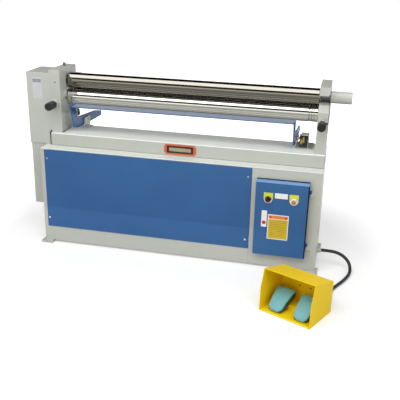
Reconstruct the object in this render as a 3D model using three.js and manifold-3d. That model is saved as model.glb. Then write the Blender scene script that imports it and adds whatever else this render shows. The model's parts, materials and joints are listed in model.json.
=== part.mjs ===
// Powered slip roll: two pinch rolls and a rear bending roll on a welded stand, with a foot switch.
// Millimetres. X runs along the rolls from the left head's inner face, Y runs to the rear from the
// bed's front face and Z runs up from the floor. The last lines move the whole machine to its origin.
import * as THREE from 'three';
import { mergeVertices } from 'three/addons/utils/BufferGeometryUtils.js';
import Module from 'manifold-3d';

const wasm = await Module();
wasm.setup();

// Clearances
const seat = 0.3; // between solids that rest on or slide in each other
const overrun = 2; // how far a cutting solid runs past the face that it cuts
const weld = 1; // how far joined shapes sink into each other
const runningGap = 1; // round what moves without touching

// Rolls
const rollSpan = 1280; // left head's face to right standard's face
const rollDiameter = 76;
const rollEndGap = 3;
const rollEdge = 2;
const nip = 10; // open gap between the pinch rolls
const pinchY = 125; // pinch rolls' axes behind the bed's front face
const pinchHeight = 168; // bottom roll's axis above the bed
const rollSides = 32;

// Stand and bed
const footThickness = 12;
const standHeight = 505;
const standFront = 65; // how far the stand stands out in front of the bed
const standDepth = 320;
const standLeftReach = 31; // past the left head's outer face
const standRightReach = 3; // past the right standard's outer face
const sheet = 3;
const topPlate = 6;
const bedDepth = 205;
const bedHeight = 65;

// Heads
const headThickness = 59;
const headDepth = 206;
const headHeight = 319;
const headFront = 13;
const standardThickness = 48;
const housingReach = 81; // rear roll's housings, out of the back of the heads

const rollRadius = rollDiameter / 2;
const standLeft = -headThickness - standLeftReach;
const standRight = rollSpan + standardThickness + standRightReach;
const standBack = standDepth - standFront;
const standTop = footThickness + standHeight;
const underTop = standTop - topPlate - seat;
const bedTop = standTop + seat + bedHeight;
const headBottom = bedTop + seat;
const bottomRollZ = bedTop + pinchHeight;
const topRollZ = bottomRollZ + rollDiameter + nip;
const headX = [-headThickness, 0];
const standardX = [rollSpan, rollSpan + standardThickness];
const headMidX = -headThickness / 2;
const standardMidX = rollSpan + standardThickness / 2;
const rollLeft = rollEndGap;
const rollRight = rollSpan - rollEndGap;

// Finishes
const finish = (color, roughness, metalness) => {
  return new THREE.MeshStandardMaterial({ color, roughness, metalness, flatShading: true });
};
const greyPaint = finish(0xc2c4b8, 0.5, 0.1);
const bluePaint = finish(0x3f6396, 0.45, 0.1);
const yellowPaint = finish(0xf2d21c, 0.5, 0.1);
const tealPaint = finish(0x7fb4b0, 0.6, 0);
const polishedSteel = finish(0xb9b6b0, 0.2, 1);
const plainSteel = finish(0x8c8c8a, 0.4, 1);
const castIron = finish(0x5a5c5c, 0.6, 0.6);
const blackPlastic = finish(0x18181a, 0.5, 0);
const brassMetal = finish(0xb39a4e, 0.35, 1);
const redPlate = finish(0xb5462c, 0.4, 0.2);
const amberLens = finish(0xe08a2a, 0.3, 0);

// One closed body with merged corners, no empty triangles and its faces pointing out
function closedBody(geometry) {
  const bare = geometry.clone();
  bare.deleteAttribute('normal');
  bare.deleteAttribute('uv');
  const merged = mergeVertices(bare, 1e-4);
  const place = merged.getAttribute('position');
  const corners = merged.getIndex().array;
  const kept = [];
  let sixVolumes = 0;
  const [a, b, c] = [new THREE.Vector3(), new THREE.Vector3(), new THREE.Vector3()];
  for (let i = 0; i < corners.length; i += 3) {
    const [p, q, r] = [corners[i], corners[i + 1], corners[i + 2]];
    if (p === q || q === r || r === p) continue;
    kept.push(p, q, r);
    a.fromBufferAttribute(place, p);
    b.fromBufferAttribute(place, q);
    c.fromBufferAttribute(place, r);
    sixVolumes += a.dot(b.cross(c));
  }
  if (sixVolumes < 0) kept.reverse();
  merged.setIndex(kept);
  return merged;
}

function asSolid(geometry) {
  const body = closedBody(geometry);
  const vertProperties = new Float32Array(body.getAttribute('position').array);
  const triVerts = new Uint32Array(body.getIndex().array);
  return new wasm.Manifold(new wasm.Mesh({ numProp: 3, vertProperties, triVerts }));
}

function asGeometry(solid) {
  const { vertProperties, triVerts } = solid.getMesh();
  const geometry = new THREE.BufferGeometry();
  geometry.setAttribute('position', new THREE.BufferAttribute(new Float32Array(vertProperties), 3));
  geometry.setIndex([...triVerts]);
  return geometry;
}

function cut(geometry, ...tools) {
  return asGeometry(tools.reduce((solid, tool) => solid.subtract(asSolid(tool)), asSolid(geometry)));
}

function join(geometry, ...others) {
  return asGeometry(others.reduce((solid, other) => solid.add(asSolid(other)), asSolid(geometry)));
}

function block([x0, x1], [y0, y1], [z0, z1]) {
  const box = new THREE.BoxGeometry(x1 - x0, y1 - y0, z1 - z0);
  return box.translate((x0 + x1) / 2, (y0 + y1) / 2, (z0 + z1) / 2);
}

const unit = (x, y, z) => new THREE.Vector3(x, y, z);
const turnedToX = new THREE.Matrix4().makeBasis(unit(0, 1, 0), unit(1, 0, 0), unit(0, 0, -1));
const turnedToZ = new THREE.Matrix4().makeBasis(unit(1, 0, 0), unit(0, 0, 1), unit(0, -1, 0));
const carriedAlongX = new THREE.Matrix4().makeBasis(unit(0, 1, 0), unit(0, 0, 1), unit(1, 0, 0));
const carriedAlongY = new THREE.Matrix4().makeBasis(unit(1, 0, 0), unit(0, 0, 1), unit(0, -1, 0));

function extruded(outline, length) {
  const shape = new THREE.Shape(outline.map(([x, y]) => new THREE.Vector2(x, y)));
  return new THREE.ExtrudeGeometry(shape, { depth: length, bevelEnabled: false });
}

// Outline in Y and Z, carried along X
function plateX(outline, [x0, x1]) {
  return extruded(outline, x1 - x0).applyMatrix4(carriedAlongX).translate(x0, 0, 0);
}

// Outline in X and Z, carried along Y
function plateY(outline, [y0, y1]) {
  return extruded(outline, y1 - y0).applyMatrix4(carriedAlongY).translate(0, y1, 0);
}

// Outline in X and Y, carried along Z
function plateZ(outline, [z0, z1]) {
  return extruded(outline, z1 - z0).translate(0, 0, z0);
}

// Profile of [place along the axis, radius] pairs, turned about an axis
function turned(profile, sides) {
  return new THREE.LatheGeometry(profile.map(([along, radius]) => new THREE.Vector2(radius, along)), sides);
}
const turnedX = (profile, y, z, sides) => turned(profile, sides).applyMatrix4(turnedToX).translate(0, y, z);
const turnedY = (profile, x, z, sides) => turned(profile, sides).translate(x, 0, z);
const turnedZ = (profile, x, y, sides) => turned(profile, sides).applyMatrix4(turnedToZ).translate(x, y, 0);
const rodProfile = ([from, to], radius) => [[from, 0], [from, radius], [to, radius], [to, 0]];
const rodX = (ends, radius, y, z, sides = 24) => turnedX(rodProfile(ends, radius), y, z, sides);
const rodY = (ends, radius, x, z, sides = 24) => turnedY(rodProfile(ends, radius), x, z, sides);
const rodZ = (ends, radius, x, y, sides = 24) => turnedZ(rodProfile(ends, radius), x, y, sides);
const past = ([from, to]) => [from - overrun, to + overrun];
const span = (from, length) => [from, from + length].sort((a, b) => a - b);
const about = (middle, half) => [middle - half, middle + half];
const shrunk = ([from, to], margin) => [from + margin, to - margin];

// Corners given as shares of a length and a height from a starting place
function fromShares(shares, y, z, length, height) {
  return shares.map(([along, up]) => [y + along * length, z + up * height]);
}

const machine = new THREE.Group();
const footSwitch = new THREE.Group();
machine.add(footSwitch);
const pieces = {};
function add(name, geometry, material, parent = machine) {
  const mesh = new THREE.Mesh(closedBody(geometry), material);
  mesh.name = name;
  parent.add(mesh);
  pieces[name] = mesh;
}

// Stand: four angle legs on feet, a bottom channel, end, rear and column sheets, and a top plate
const legSize = 46;
const legWall = 5;
const footSize = 60;
const footForward = 21; // how far a foot stands out in front of its leg
const footOutward = 15;
const footBolt = 12;
const footBoltInset = 10;
const columnWidth = 332;
const columnX = [standRight - columnWidth, standRight];
const columnSheetY = span(-standFront, sheet);
const behindSheet = columnSheetY[1] + seat;

// Corner place and directions that point out of the stand
function makeLeg(cornerX, outX, cornerY, outY) {
  const [innerX, innerY] = [cornerX - outX * legSize, cornerY - outY * legSize];
  const [wallX, wallY] = [cornerX - outX * legWall, cornerY - outY * legWall];
  const angle = plateZ([
    [cornerX, cornerY], [innerX, cornerY], [innerX, wallY], [wallX, wallY], [wallX, innerY], [cornerX, innerY],
  ], [footThickness - weld, underTop]);
  const footEdgeX = cornerX + outX * footOutward;
  const footEdgeY = (outY < 0 ? -standFront : standBack) + outY * footForward;
  const foot = block(span(footEdgeX, -outX * footSize), span(footEdgeY, -outY * footSize), [0, footThickness]);
  const boltX = footEdgeX - outX * footBoltInset;
  const boltY = footEdgeY - outY * footBoltInset;
  return cut(join(angle, foot), rodZ(past([0, footThickness]), footBolt / 2, boltX, boltY, 12));
}
add('leg_front_left', makeLeg(standLeft, -1, -standFront, -1), greyPaint);
add('leg_rear_left', makeLeg(standLeft, -1, standBack, 1), greyPaint);
add('leg_front_right', makeLeg(standRight, 1, behindSheet, -1), greyPaint);
add('leg_rear_right', makeLeg(standRight, 1, standBack, 1), greyPaint);

const channelHeight = 83;
const channelFlange = 40;
const betweenLegs = [standLeft + legSize + seat, standRight - legSize - seat];
const standBottom = footThickness + seat;
const channelZ = span(standBottom, channelHeight);
const channelY = span(-standFront, channelFlange);
add('bottom_channel', plateX([
  [channelY[0], channelZ[0]], [channelY[1], channelZ[0]], [channelY[1], channelZ[0] + sheet],
  [channelY[0] + sheet, channelZ[0] + sheet], [channelY[0] + sheet, channelZ[1] - sheet],
  [channelY[1], channelZ[1] - sheet], [channelY[1], channelZ[1]], [channelY[0], channelZ[1]],
], [betweenLegs[0], columnX[0] - seat]), greyPaint);
add('stand_top', block([standLeft, standRight], [-standFront, standBack], [standTop - topPlate, standTop]), greyPaint);

// End panels: the left one has the drive shaft's hole, the right one the foot cable's hole
const driveY = 100;
const driveDrop = 217; // from the stand's top to the lower chain wheel's axis
const driveZ = standTop - driveDrop;
const driveHole = 30;
const glandThread = 10;
const glandY = 20;
const glandZ = 89;
const standSheetZ = [standBottom, underTop];
const leftPanelX = span(standLeft, sheet);
const rightPanelX = span(standRight, -sheet);
const panelBetweenLegs = (front) => [front + legSize + seat, standBack - legSize - seat];
const leftPanelY = panelBetweenLegs(-standFront);
add('left_end_panel', cut(
  block(leftPanelX, leftPanelY, standSheetZ),
  rodX(past(leftPanelX), driveHole, driveY, driveZ)
), greyPaint);
add('right_end_panel', cut(
  block(rightPanelX, panelBetweenLegs(behindSheet), standSheetZ),
  rodX(past(rightPanelX), glandThread + seat, glandY, glandZ)
), greyPaint);

// Rear panel with two rows of louvre slots
const louvreWidth = 70;
const louvreHeight = 8;
const louvreRise = 24;
const louvreRows = 7;
const louvreInset = 180; // from the panel's ends to the middle of a row
const louvreBase = 190;
const rearPanelY = span(standBack, -sheet);
const louvres = [betweenLegs[0] + louvreInset, betweenLegs[1] - louvreInset].flatMap((x) => {
  return Array.from({ length: louvreRows }, (_, row) => {
    return block(about(x, louvreWidth / 2), past(rearPanelY), span(louvreBase + row * louvreRise, louvreHeight));
  });
});
add('rear_panel', cut(block(betweenLegs, rearPanelY, standSheetZ), ...louvres), greyPaint);

// Door, hinged at its right edge, and the column sheet with the cabinet's opening and the hinge pins
const doorInset = 25; // from the column's left edge
const doorWidth = 253;
const doorBottom = 83;
const doorDrop = 52; // from the stand's top to the door's top edge
const doorProud = 31;
const doorSlope = 9; // sloping bend along the door's top edge
const doorLip = 15; // door's overlap of the opening
const hingeRadius = 5;
const hingePin = 2.4;
const hingeHalfHeight = 18;
const hingeInset = 55;
const hingeLeaf = 16;
const hingeLeafProud = 1; // leaf's front face in front of the pin's axis
const hingeForward = 4.7; // pin's axis in front of the door's rear edge
const hingeSides = 12;
const doorX = span(columnX[0] + doorInset, doorWidth);
const doorZ = [doorBottom, standTop - doorDrop];
const doorY = [-standFront - doorProud, -standFront - seat];
const doorSheetY = span(doorY[0], sheet);
const hingeX = doorX[1] + seat + hingeRadius;
const hingeY = doorY[1] - hingeForward;
const hingeZs = [doorZ[0] + hingeInset, doorZ[1] - hingeInset];
const openingX = shrunk(doorX, doorLip);
const openingZ = shrunk(doorZ, doorLip);

function makeHinge(z) {
  return join(
    rodZ([z - hingeHalfHeight, z], hingeRadius, hingeX, hingeY, hingeSides),
    block([hingeX, hingeX + hingeLeaf], [hingeY - hingeLeafProud, -standFront + weld], [z - hingeHalfHeight, z]),
    rodZ([z - weld, z + hingeHalfHeight - weld], hingePin, hingeX, hingeY, hingeSides)
  );
}
add('column_front', join(cut(
  block(columnX, columnSheetY, standSheetZ),
  block(openingX, past(columnSheetY), openingZ)
), ...hingeZs.map(makeHinge)), greyPaint);

const selectorInset = 62; // from the door's free edge
const pilotInset = 184;
const controlDrop = 91; // from the door's top edge
const switchBore = 11;
const selectorX = doorX[0] + selectorInset;
const pilotX = doorX[0] + pilotInset;
const controlZ = doorZ[1] - controlDrop;
function makeKnuckle(z) {
  const knuckleZ = [z + seat, z + hingeHalfHeight];
  return join(
    rodZ(knuckleZ, hingeRadius, hingeX, hingeY, hingeSides),
    block([doorX[1] - weld, hingeX], about(hingeY, hingeRadius / 2), knuckleZ)
  );
}
const hingeBores = hingeZs.map((z) => {
  return rodZ([z - overrun, z + hingeHalfHeight + overrun], hingePin + seat, hingeX, hingeY, hingeSides);
});
const controlHoles = [selectorX, pilotX].map((x) => rodY(past(doorSheetY), switchBore + seat, x, controlZ));
function doorOutline([front, back], [low, high], slope) {
  return [[front, low], [back, low], [back, high], [doorY[0] + slope, high], [front, doorZ[1] - slope]];
}
const slopeInside = doorSlope + sheet * (Math.SQRT2 - 1);
add('door', cut(join(cut(
  plateX(doorOutline(doorY, doorZ, doorSlope), doorX),
  plateX(
    doorOutline([doorSheetY[1], doorY[1] + overrun], shrunk(doorZ, sheet), slopeInside),
    shrunk(doorX, sheet)
  )
), ...hingeZs.map(makeKnuckle)), ...hingeBores, ...controlHoles), bluePaint);
add('stand_divider', block(span(columnX[0], sheet), [behindSheet, rearPanelY[0] - seat], standSheetZ), greyPaint);

// Blue front panel, on the channel and the legs
const panelMargin = 20;
const panelEnd = 1; // gap to the column
const panelOverlap = 3; // over the channel
const panelSheet = 2.5;
const panelX = [standLeft + panelMargin, columnX[0] - panelEnd];
const panelZ = [channelZ[1] - panelOverlap, underTop];
add('front_panel', block(panelX, span(-standFront - seat, -panelSheet), panelZ), bluePaint);

// Bed: a box section, open at its left end under the drive cover
const bedWall = 8;
const bedX = [headX[0], standRight];
const bedY = [0, bedDepth];
const bedZ = [standTop + seat, bedTop];
add('bed', cut(
  block(bedX, bedY, bedZ),
  block([bedX[0] - overrun, bedX[1] - bedWall], shrunk(bedY, bedWall), shrunk(bedZ, bedWall))
), greyPaint);

// Bare red plate with clipped corners in the middle of the bed's front
const namePlateThickness = 1.5;
const namePlateWidth = 163;
const namePlateHeight = 52;
const namePlateOffset = 13.5; // left of the rolls' middle
const namePlateRise = 6.5; // above the bed's foot
const namePlateCorner = 10;
const namePlateX = about(rollSpan / 2 - namePlateOffset, namePlateWidth / 2);
const namePlateZ = span(bedZ[0] + namePlateRise, namePlateHeight);
const [innerPlateX, innerPlateZ] = [shrunk(namePlateX, namePlateCorner), shrunk(namePlateZ, namePlateCorner)];
add('name_plate', plateY([
  [innerPlateX[0], namePlateZ[0]], [innerPlateX[1], namePlateZ[0]],
  [namePlateX[1], innerPlateZ[0]], [namePlateX[1], innerPlateZ[1]],
  [innerPlateX[1], namePlateZ[1]], [innerPlateX[0], namePlateZ[1]],
  [namePlateX[0], innerPlateZ[1]], [namePlateX[0], innerPlateZ[0]],
], span(-seat, -namePlateThickness)), redPlate);

// Bottom roll's bearing blocks slide up and down in the heads, each on a sliding wedge
const journalRadius = 20;
const pinchBlockHalf = 30;
const pinchBlockHalfHeight = 28;
const liftUp = 9;
const liftDown = 2;
const wedgeSlope = 0.5; // fall per length
const blockInset = 3; // block's faces inside the head's faces
const wedgeLength = 128;
const wedgeTail = 3; // wedge's rear end behind the block
const wedgeBase = 55; // wedge's foot under the bottom roll's axis
const wedgeNose = 60; // height of the wedge's front end
const frontScrewRise = 37; // screw's axis above the wedge's foot
const frontScrewRadius = 8;
const frontScrewGrip = 22; // screw's length in the wedge
const pocketBackHeight = 33;
const blockFront = pinchY - pinchBlockHalf;
const blockBack = pinchY + pinchBlockHalf;
const wedgeUp = liftUp / wedgeSlope;
const wedgeDown = liftDown / wedgeSlope;
const wedgeBack = blockBack + wedgeTail;
const wedgeFront = wedgeBack - wedgeLength;
const wedgeLow = bottomRollZ - wedgeBase;
const wedgeTop = wedgeLow + wedgeNose;
const frontScrewZ = wedgeLow + frontScrewRise;
const frontScrewTip = wedgeFront + frontScrewGrip;
const slopeAt = (y) => bottomRollZ - pinchBlockHalfHeight - (y - pinchY) * wedgeSlope;
const wedgeGap = seat / Math.cos(Math.atan(wedgeSlope));
const wedgeTurn = pinchY - (wedgeTop + wedgeGap - bottomRollZ + pinchBlockHalfHeight) / wedgeSlope;
const wedgeBoreEnd = frontScrewTip + wedgeDown + runningGap;
const pocketFront = wedgeFront - wedgeDown - runningGap;
const pocketBack = wedgeBack + wedgeUp + runningGap;
const blockTop = bottomRollZ + pinchBlockHalfHeight;
const slotTop = blockTop + liftUp + seat;

function makePinchBlock(xs) {
  const outline = [
    [blockFront, slopeAt(blockFront)], [blockBack, slopeAt(blockBack)], [blockBack, blockTop], [blockFront, blockTop],
  ];
  return cut(plateX(outline, xs), rodX(past(xs), journalRadius + seat, pinchY, bottomRollZ, 32));
}

function makeWedge(xs) {
  const outline = [
    [wedgeFront, wedgeLow], [wedgeBack, wedgeLow], [wedgeBack, slopeAt(wedgeBack) - wedgeGap],
    [wedgeTurn, wedgeTop], [wedgeFront, wedgeTop],
  ];
  const boreY = [wedgeFront - overrun, wedgeBoreEnd];
  return cut(plateX(outline, xs), rodY(boreY, frontScrewRadius + seat, (xs[0] + xs[1]) / 2, frontScrewZ));
}
const [inHeadX, inStandardX] = [shrunk(headX, blockInset), shrunk(standardX, blockInset)];
add('bottom_block_left', makePinchBlock(inHeadX), castIron);
add('bottom_block_right', makePinchBlock(inStandardX), castIron);
add('wedge_left', makeWedge(inHeadX), plainSteel);
add('wedge_right', makeWedge(inStandardX), plainSteel);

// Rear roll's bearing blocks slide on a slant, each pushed by a jack screw from below
const rearBehind = 90; // rear roll's axis behind the pinch rolls' axes
const rearAbove = 12;
const rearLean = THREE.MathUtils.degToRad(22.3); // slide's lean towards the pinch rolls
const rearUp = 30;
const rearDown = 12;
const rearBlockHalf = 26;
const rearJournal = 17;
const rearScrewRadius = 7;
const housingBelow = 77; // housing's foot under the rear roll's axis
const housingAbove = 83;
const rearY = pinchY + rearBehind;
const rearZ = bottomRollZ + rearAbove;
const headBack = headFront + headDepth;
const housingBack = headBack + housingReach;
// A place in the slide's own directions: along the travel, and across it
const onSlide = (along, across) => [
  rearY - along * Math.sin(rearLean) + across * Math.cos(rearLean),
  rearZ + along * Math.cos(rearLean) + across * Math.sin(rearLean),
];
const slideBlock = (low, high, half) => [
  onSlide(low, -half), onSlide(low, half), onSlide(high, half), onSlide(high, -half),
];
function turnedOnSlide(profile, x, sides) {
  return turned(profile, sides).applyMatrix4(turnedToZ).rotateX(rearLean).translate(x, rearY, rearZ);
}

function makeRearBlock(xs) {
  const outline = slideBlock(-rearBlockHalf, rearBlockHalf, rearBlockHalf);
  return cut(plateX(outline, xs), rodX(past(xs), rearJournal + seat, rearY, rearZ, 32));
}
add('rear_block_left', makeRearBlock(inHeadX), castIron);
add('rear_block_right', makeRearBlock(inStandardX), castIron);

// Cuts that both side castings share: wedge pocket, bearing slots and screw holes
const frontSlotLow = wedgeLow - seat;
function guideCuts(xs) {
  const through = past(xs);
  const midX = (xs[0] + xs[1]) / 2;
  const slotY = about(pinchY, pinchBlockHalf + seat);
  const rearSlot = slideBlock(-rearBlockHalf - rearDown - seat, rearBlockHalf + rearUp + seat, rearBlockHalf + seat);
  const jackBore = rodProfile([-housingBelow - housingReach, -rearBlockHalf], rearScrewRadius + seat);
  return [
    block(through, [pocketFront, slotY[1]], [frontSlotLow, wedgeTop + seat]),
    block(through, slotY, [frontSlotLow, slotTop]),
    block(through, [slotY[0], pocketBack], span(frontSlotLow, pocketBackHeight)),
    plateX(rearSlot, through),
    rodY([headFront - overrun, pocketFront + overrun], frontScrewRadius + seat, midX, frontScrewZ),
    turnedOnSlide(jackBore, midX, 24),
  ];
}
const rearHousing = [
  [headBack, rearZ - housingBelow], [housingBack, rearZ - housingBelow],
  [housingBack, rearZ + housingAbove], [headBack, rearZ + housingAbove],
];

// Left head, with the window in which the top roll's swivel block turns and the drive hub's bearing
const swivelHalfX = 21;
const swivelHalfY = 32;
const swivelHalfZ = 35.7;
const swivelLimit = THREE.MathUtils.degToRad(10);
const trunnionRadius = 10;
const trunnionLength = 8;
const bearingHalf = 42;
const bearingDepth = 12;
const hubNeck = 14;
const headTop = headBottom + headHeight;
const windowHalfY = swivelHalfY * Math.cos(swivelLimit) + swivelHalfX * Math.sin(swivelLimit) + runningGap;
const trunnionReach = swivelHalfZ + trunnionLength;
const windowY = about(pinchY, windowHalfY);
const windowZ = about(topRollZ, swivelHalfZ + seat);
const bearingX = [headX[0] - bearingDepth, headX[0] + weld];
add('left_head', cut(
  join(
    plateX([
      [headFront, headBottom], [headBack, headBottom], ...rearHousing, [headBack, headTop], [headFront, headTop],
    ], headX),
    block(bearingX, about(pinchY, bearingHalf), about(topRollZ, bearingHalf))
  ),
  ...guideCuts(headX),
  block(past(headX), windowY, windowZ),
  rodZ(about(topRollZ, trunnionReach + seat), trunnionRadius + seat, headMidX, pinchY),
  rodX(past(bearingX), hubNeck + seat, pinchY, topRollZ)
), greyPaint);

const swivelX = about(headMidX, swivelHalfX);
const stubRadius = 22;
add('swivel_block', cut(
  join(
    block(swivelX, about(pinchY, swivelHalfY), about(topRollZ, swivelHalfZ)),
    rodZ(about(topRollZ, trunnionReach), trunnionRadius, headMidX, pinchY)
  ),
  rodX(past(swivelX), stubRadius + seat, pinchY, topRollZ, 32)
), castIron);

// Top roll: its left stub turns in the swivel block, and its right journal leaves through the throat
const topRollLeft = 8;
const ballRadius = 15;
const stubBoreBehind = 21; // bore's end past the ball's middle
const releaseJournal = 16;
const releaseJournalReach = 92; // out of the right standard
const stubLeft = swivelX[0] - runningGap;
const stubBore = ballRadius + seat;
const stubBoreEnd = headMidX + stubBoreBehind;
const releaseJournalEnd = standardX[1] + releaseJournalReach;
add('top_roll', turnedX([
  [stubBoreEnd, 0], [stubBoreEnd, stubBore], [stubLeft, stubBore], [stubLeft, stubRadius],
  [topRollLeft, stubRadius], [topRollLeft, rollRadius - rollEdge], [topRollLeft + rollEdge, rollRadius],
  [rollRight - rollEdge, rollRadius], [rollRight, rollRadius - rollEdge], [rollRight, releaseJournal],
  [releaseJournalEnd, releaseJournal], [releaseJournalEnd, 0],
], pinchY, topRollZ, rollSides), polishedSteel);

// Bottom and rear rolls, with wire grooves near their right ends
const grooveDepths = [4, 3.2, 2.5];
const groovePitch = 12;
const grooveInset = 42; // first groove from the roll's right end
const journalInset = 1; // inside the castings' outer faces
const gearWidth = 20;
const gearOffset = 19; // gears' right faces from the left head
const gearShaft = 16;
const gearShaftEnd = 5; // past the gear
const gearX = span(headX[0] - gearOffset, -gearWidth);
const gearShaftLeft = gearX[0] - gearShaftEnd;
const grooves = grooveDepths.flatMap((depth, i) => {
  const middle = rollRight - grooveInset + i * groovePitch;
  return [[middle - depth, rollRadius], [middle, rollRadius - depth], [middle + depth, rollRadius]];
});
const journalLeft = headX[0] - journalInset;
const journalRight = standardX[1] - journalInset;
add('bottom_roll', turnedX([
  [gearShaftLeft, 0], [gearShaftLeft, gearShaft], [journalLeft, gearShaft], [journalLeft, journalRadius],
  [rollLeft, journalRadius], [rollLeft, rollRadius - rollEdge], [rollLeft + rollEdge, rollRadius], ...grooves,
  [rollRight - rollEdge, rollRadius], [rollRight, rollRadius - rollEdge], [rollRight, journalRadius],
  [journalRight, journalRadius], [journalRight, 0],
], pinchY, bottomRollZ, rollSides), polishedSteel);
add('rear_roll', turnedX([
  [headX[0] + journalInset, 0], [headX[0] + journalInset, rearJournal], [rollLeft, rearJournal],
  [rollLeft, rollRadius - rollEdge], [rollLeft + rollEdge, rollRadius], ...grooves,
  [rollRight - rollEdge, rollRadius], [rollRight, rollRadius - rollEdge], [rollRight, rearJournal],
  [journalRight, rearJournal], [journalRight, 0],
], rearY, rearZ, rollSides), polishedSteel);

// Right standard, with a throat that is open to the front for the top roll's journal
const throatHalf = 25;
const chamferDepth = 37;
const chamferDrop = 30;
const reliefHalf = 30.5;
const reliefDepth = 5;
const throatLow = topRollZ - throatHalf;
function makeThroat(xs, half) {
  return join(
    block(xs, [headFront - overrun, pinchY], about(topRollZ, half)),
    rodX(xs, half, pinchY, topRollZ, 32)
  );
}
add('right_standard', cut(
  plateX([
    [headFront, headBottom], [headBack, headBottom], ...rearHousing, [headBack, headTop],
    [headFront, headTop], [headFront, topRollZ], [headFront + chamferDepth, topRollZ],
    [headFront + chamferDepth, throatLow], [headFront, throatLow - chamferDrop],
  ], standardX),
  ...guideCuts(standardX),
  makeThroat(past(standardX), throatHalf),
  makeThroat([standardX[1] - reliefDepth, standardX[1] + overrun], reliefHalf)
), greyPaint);

// Release sleeve: its spigot locks the journal in the throat until it is drawn out to the right
const sleeveRadius = 28.5;
const sleeveGap = 1.3; // from the standard
const sleeveLength = 99;
const sleeveEndWall = 4;
const spigotInset = 4;
const sleeveLeft = standardX[1] + sleeveGap;
const sleeveRight = sleeveLeft + sleeveLength;
const sleeveBoreEnd = sleeveRight - sleeveEndWall;
const spigotLeft = standardX[0] + spigotInset;
const spigotRadius = throatHalf - seat;
add('release_sleeve', turnedX([
  [sleeveBoreEnd, 0], [sleeveBoreEnd, releaseJournal + seat], [spigotLeft, releaseJournal + seat],
  [spigotLeft, spigotRadius], [sleeveLeft, spigotRadius], [sleeveLeft, sleeveRadius],
  [sleeveRight - rollEdge, sleeveRadius], [sleeveRight, sleeveRadius - rollEdge], [sleeveRight, 0],
], pinchY, topRollZ, 32), greyPaint);

// Front adjusting knobs: each turns a screw that draws its wedge in or out
const knobRadius = 20;
const frontKnobLength = 63;
const frontKnobStem = 23; // from the head to the knob
const knobNeck = 12;
const knobFlutes = 8;
const fluteRadius = 6;
const fluteDepth = 2.5;
const frontKnobBack = headFront - frontKnobStem;
const frontKnobY = span(frontKnobBack, -frontKnobLength);
const knobBody = ([from, to]) => [
  [from, 0], [from, knobRadius - rollEdge], [from + rollEdge, knobRadius],
  [to - rollEdge, knobRadius], [to, knobRadius - rollEdge],
];
function makeFrontKnob(x) {
  const neckEnd = headFront - seat;
  const knob = turnedY([
    ...knobBody(frontKnobY), [frontKnobBack, knobNeck], [neckEnd, knobNeck], [neckEnd, frontScrewRadius],
    [frontScrewTip, frontScrewRadius], [frontScrewTip, 0],
  ], x, frontScrewZ, 24);
  const reach = knobRadius + fluteRadius - fluteDepth;
  const flutes = Array.from({ length: knobFlutes }, (_, i) => {
    const turn = 2 * Math.PI * i / knobFlutes;
    return rodY(past(frontKnobY), fluteRadius, x + reach * Math.cos(turn), frontScrewZ + reach * Math.sin(turn), 8);
  });
  return cut(knob, ...flutes);
}
add('front_knob_left', makeFrontKnob(headMidX), blackPlastic);
add('front_knob_right', makeFrontKnob(standardMidX), blackPlastic);

// Rear jack screws with their knobs, below the rear housings
const rearKnobDrop = 125; // knob's top below the rear roll's axis, along the slide
const rearKnobHeight = 30;
const jackTop = -rearBlockHalf - seat;
function makeRearKnob(x) {
  return turnedOnSlide([
    ...knobBody(span(-rearKnobDrop, -rearKnobHeight)), [-rearKnobDrop, rearScrewRadius],
    [jackTop, rearScrewRadius], [jackTop, 0],
  ], x, 16);
}
add('rear_knob_left', makeRearKnob(headMidX), blackPlastic);
add('rear_knob_right', makeRearKnob(standardMidX), blackPlastic);

// Gears between the pinch rolls: long teeth that stay in mesh while the bottom roll is raised
const gearTeeth = 12;
const gearTip = 45;
const gearRoot = 31;
const toothHalfRoot = 5;
const toothHalfTip = 2;
function toothedOutline({ teeth, root, tip, halfRoot, halfTip, turn = 0 }, y, z) {
  const steps = [[root, -halfRoot / root], [tip, -halfTip / tip], [tip, halfTip / tip], [root, halfRoot / root]];
  return Array.from({ length: teeth }, (_, i) => turn + 2 * Math.PI * i / teeth).flatMap((middle) => {
    return steps.map(([radius, angle]) => {
      return [y + radius * Math.cos(middle + angle), z + radius * Math.sin(middle + angle)];
    });
  });
}
const gearForm = { teeth: gearTeeth, root: gearRoot, tip: gearTip, halfRoot: toothHalfRoot, halfTip: toothHalfTip };
add('bottom_gear', cut(
  plateX(toothedOutline(gearForm, pinchY, bottomRollZ), gearX),
  rodX(past(gearX), gearShaft + seat, pinchY, bottomRollZ)
), castIron);

// Chain wheels: the upper one is on the drive hub, the lower one on the gearbox's shaft
const wheelWidth = 6;
const wheelGap = 16; // between the gears and the chain wheels
const upperWheelTeeth = 19;
const lowerWheelTeeth = 12;
const upperWheelPitch = 38;
const wheelTipRise = 2;
const wheelRootDrop = 4.5;
const toothRootShare = 0.3; // of the tooth pitch, to each side
const toothTipShare = 0.12;
const wheelX = span(gearX[0] - wheelGap, -wheelWidth);
const lowerWheelPitch = upperWheelPitch * lowerWheelTeeth / upperWheelTeeth;
function makeWheel(teeth, pitchRadius, y, z) {
  const toothPitch = 2 * Math.PI * pitchRadius / teeth;
  const form = {
    teeth,
    root: pitchRadius - wheelRootDrop,
    tip: pitchRadius + wheelTipRise,
    halfRoot: toothPitch * toothRootShare,
    halfTip: toothPitch * toothTipShare,
  };
  return plateX(toothedOutline(form, y, z), wheelX);
}

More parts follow.
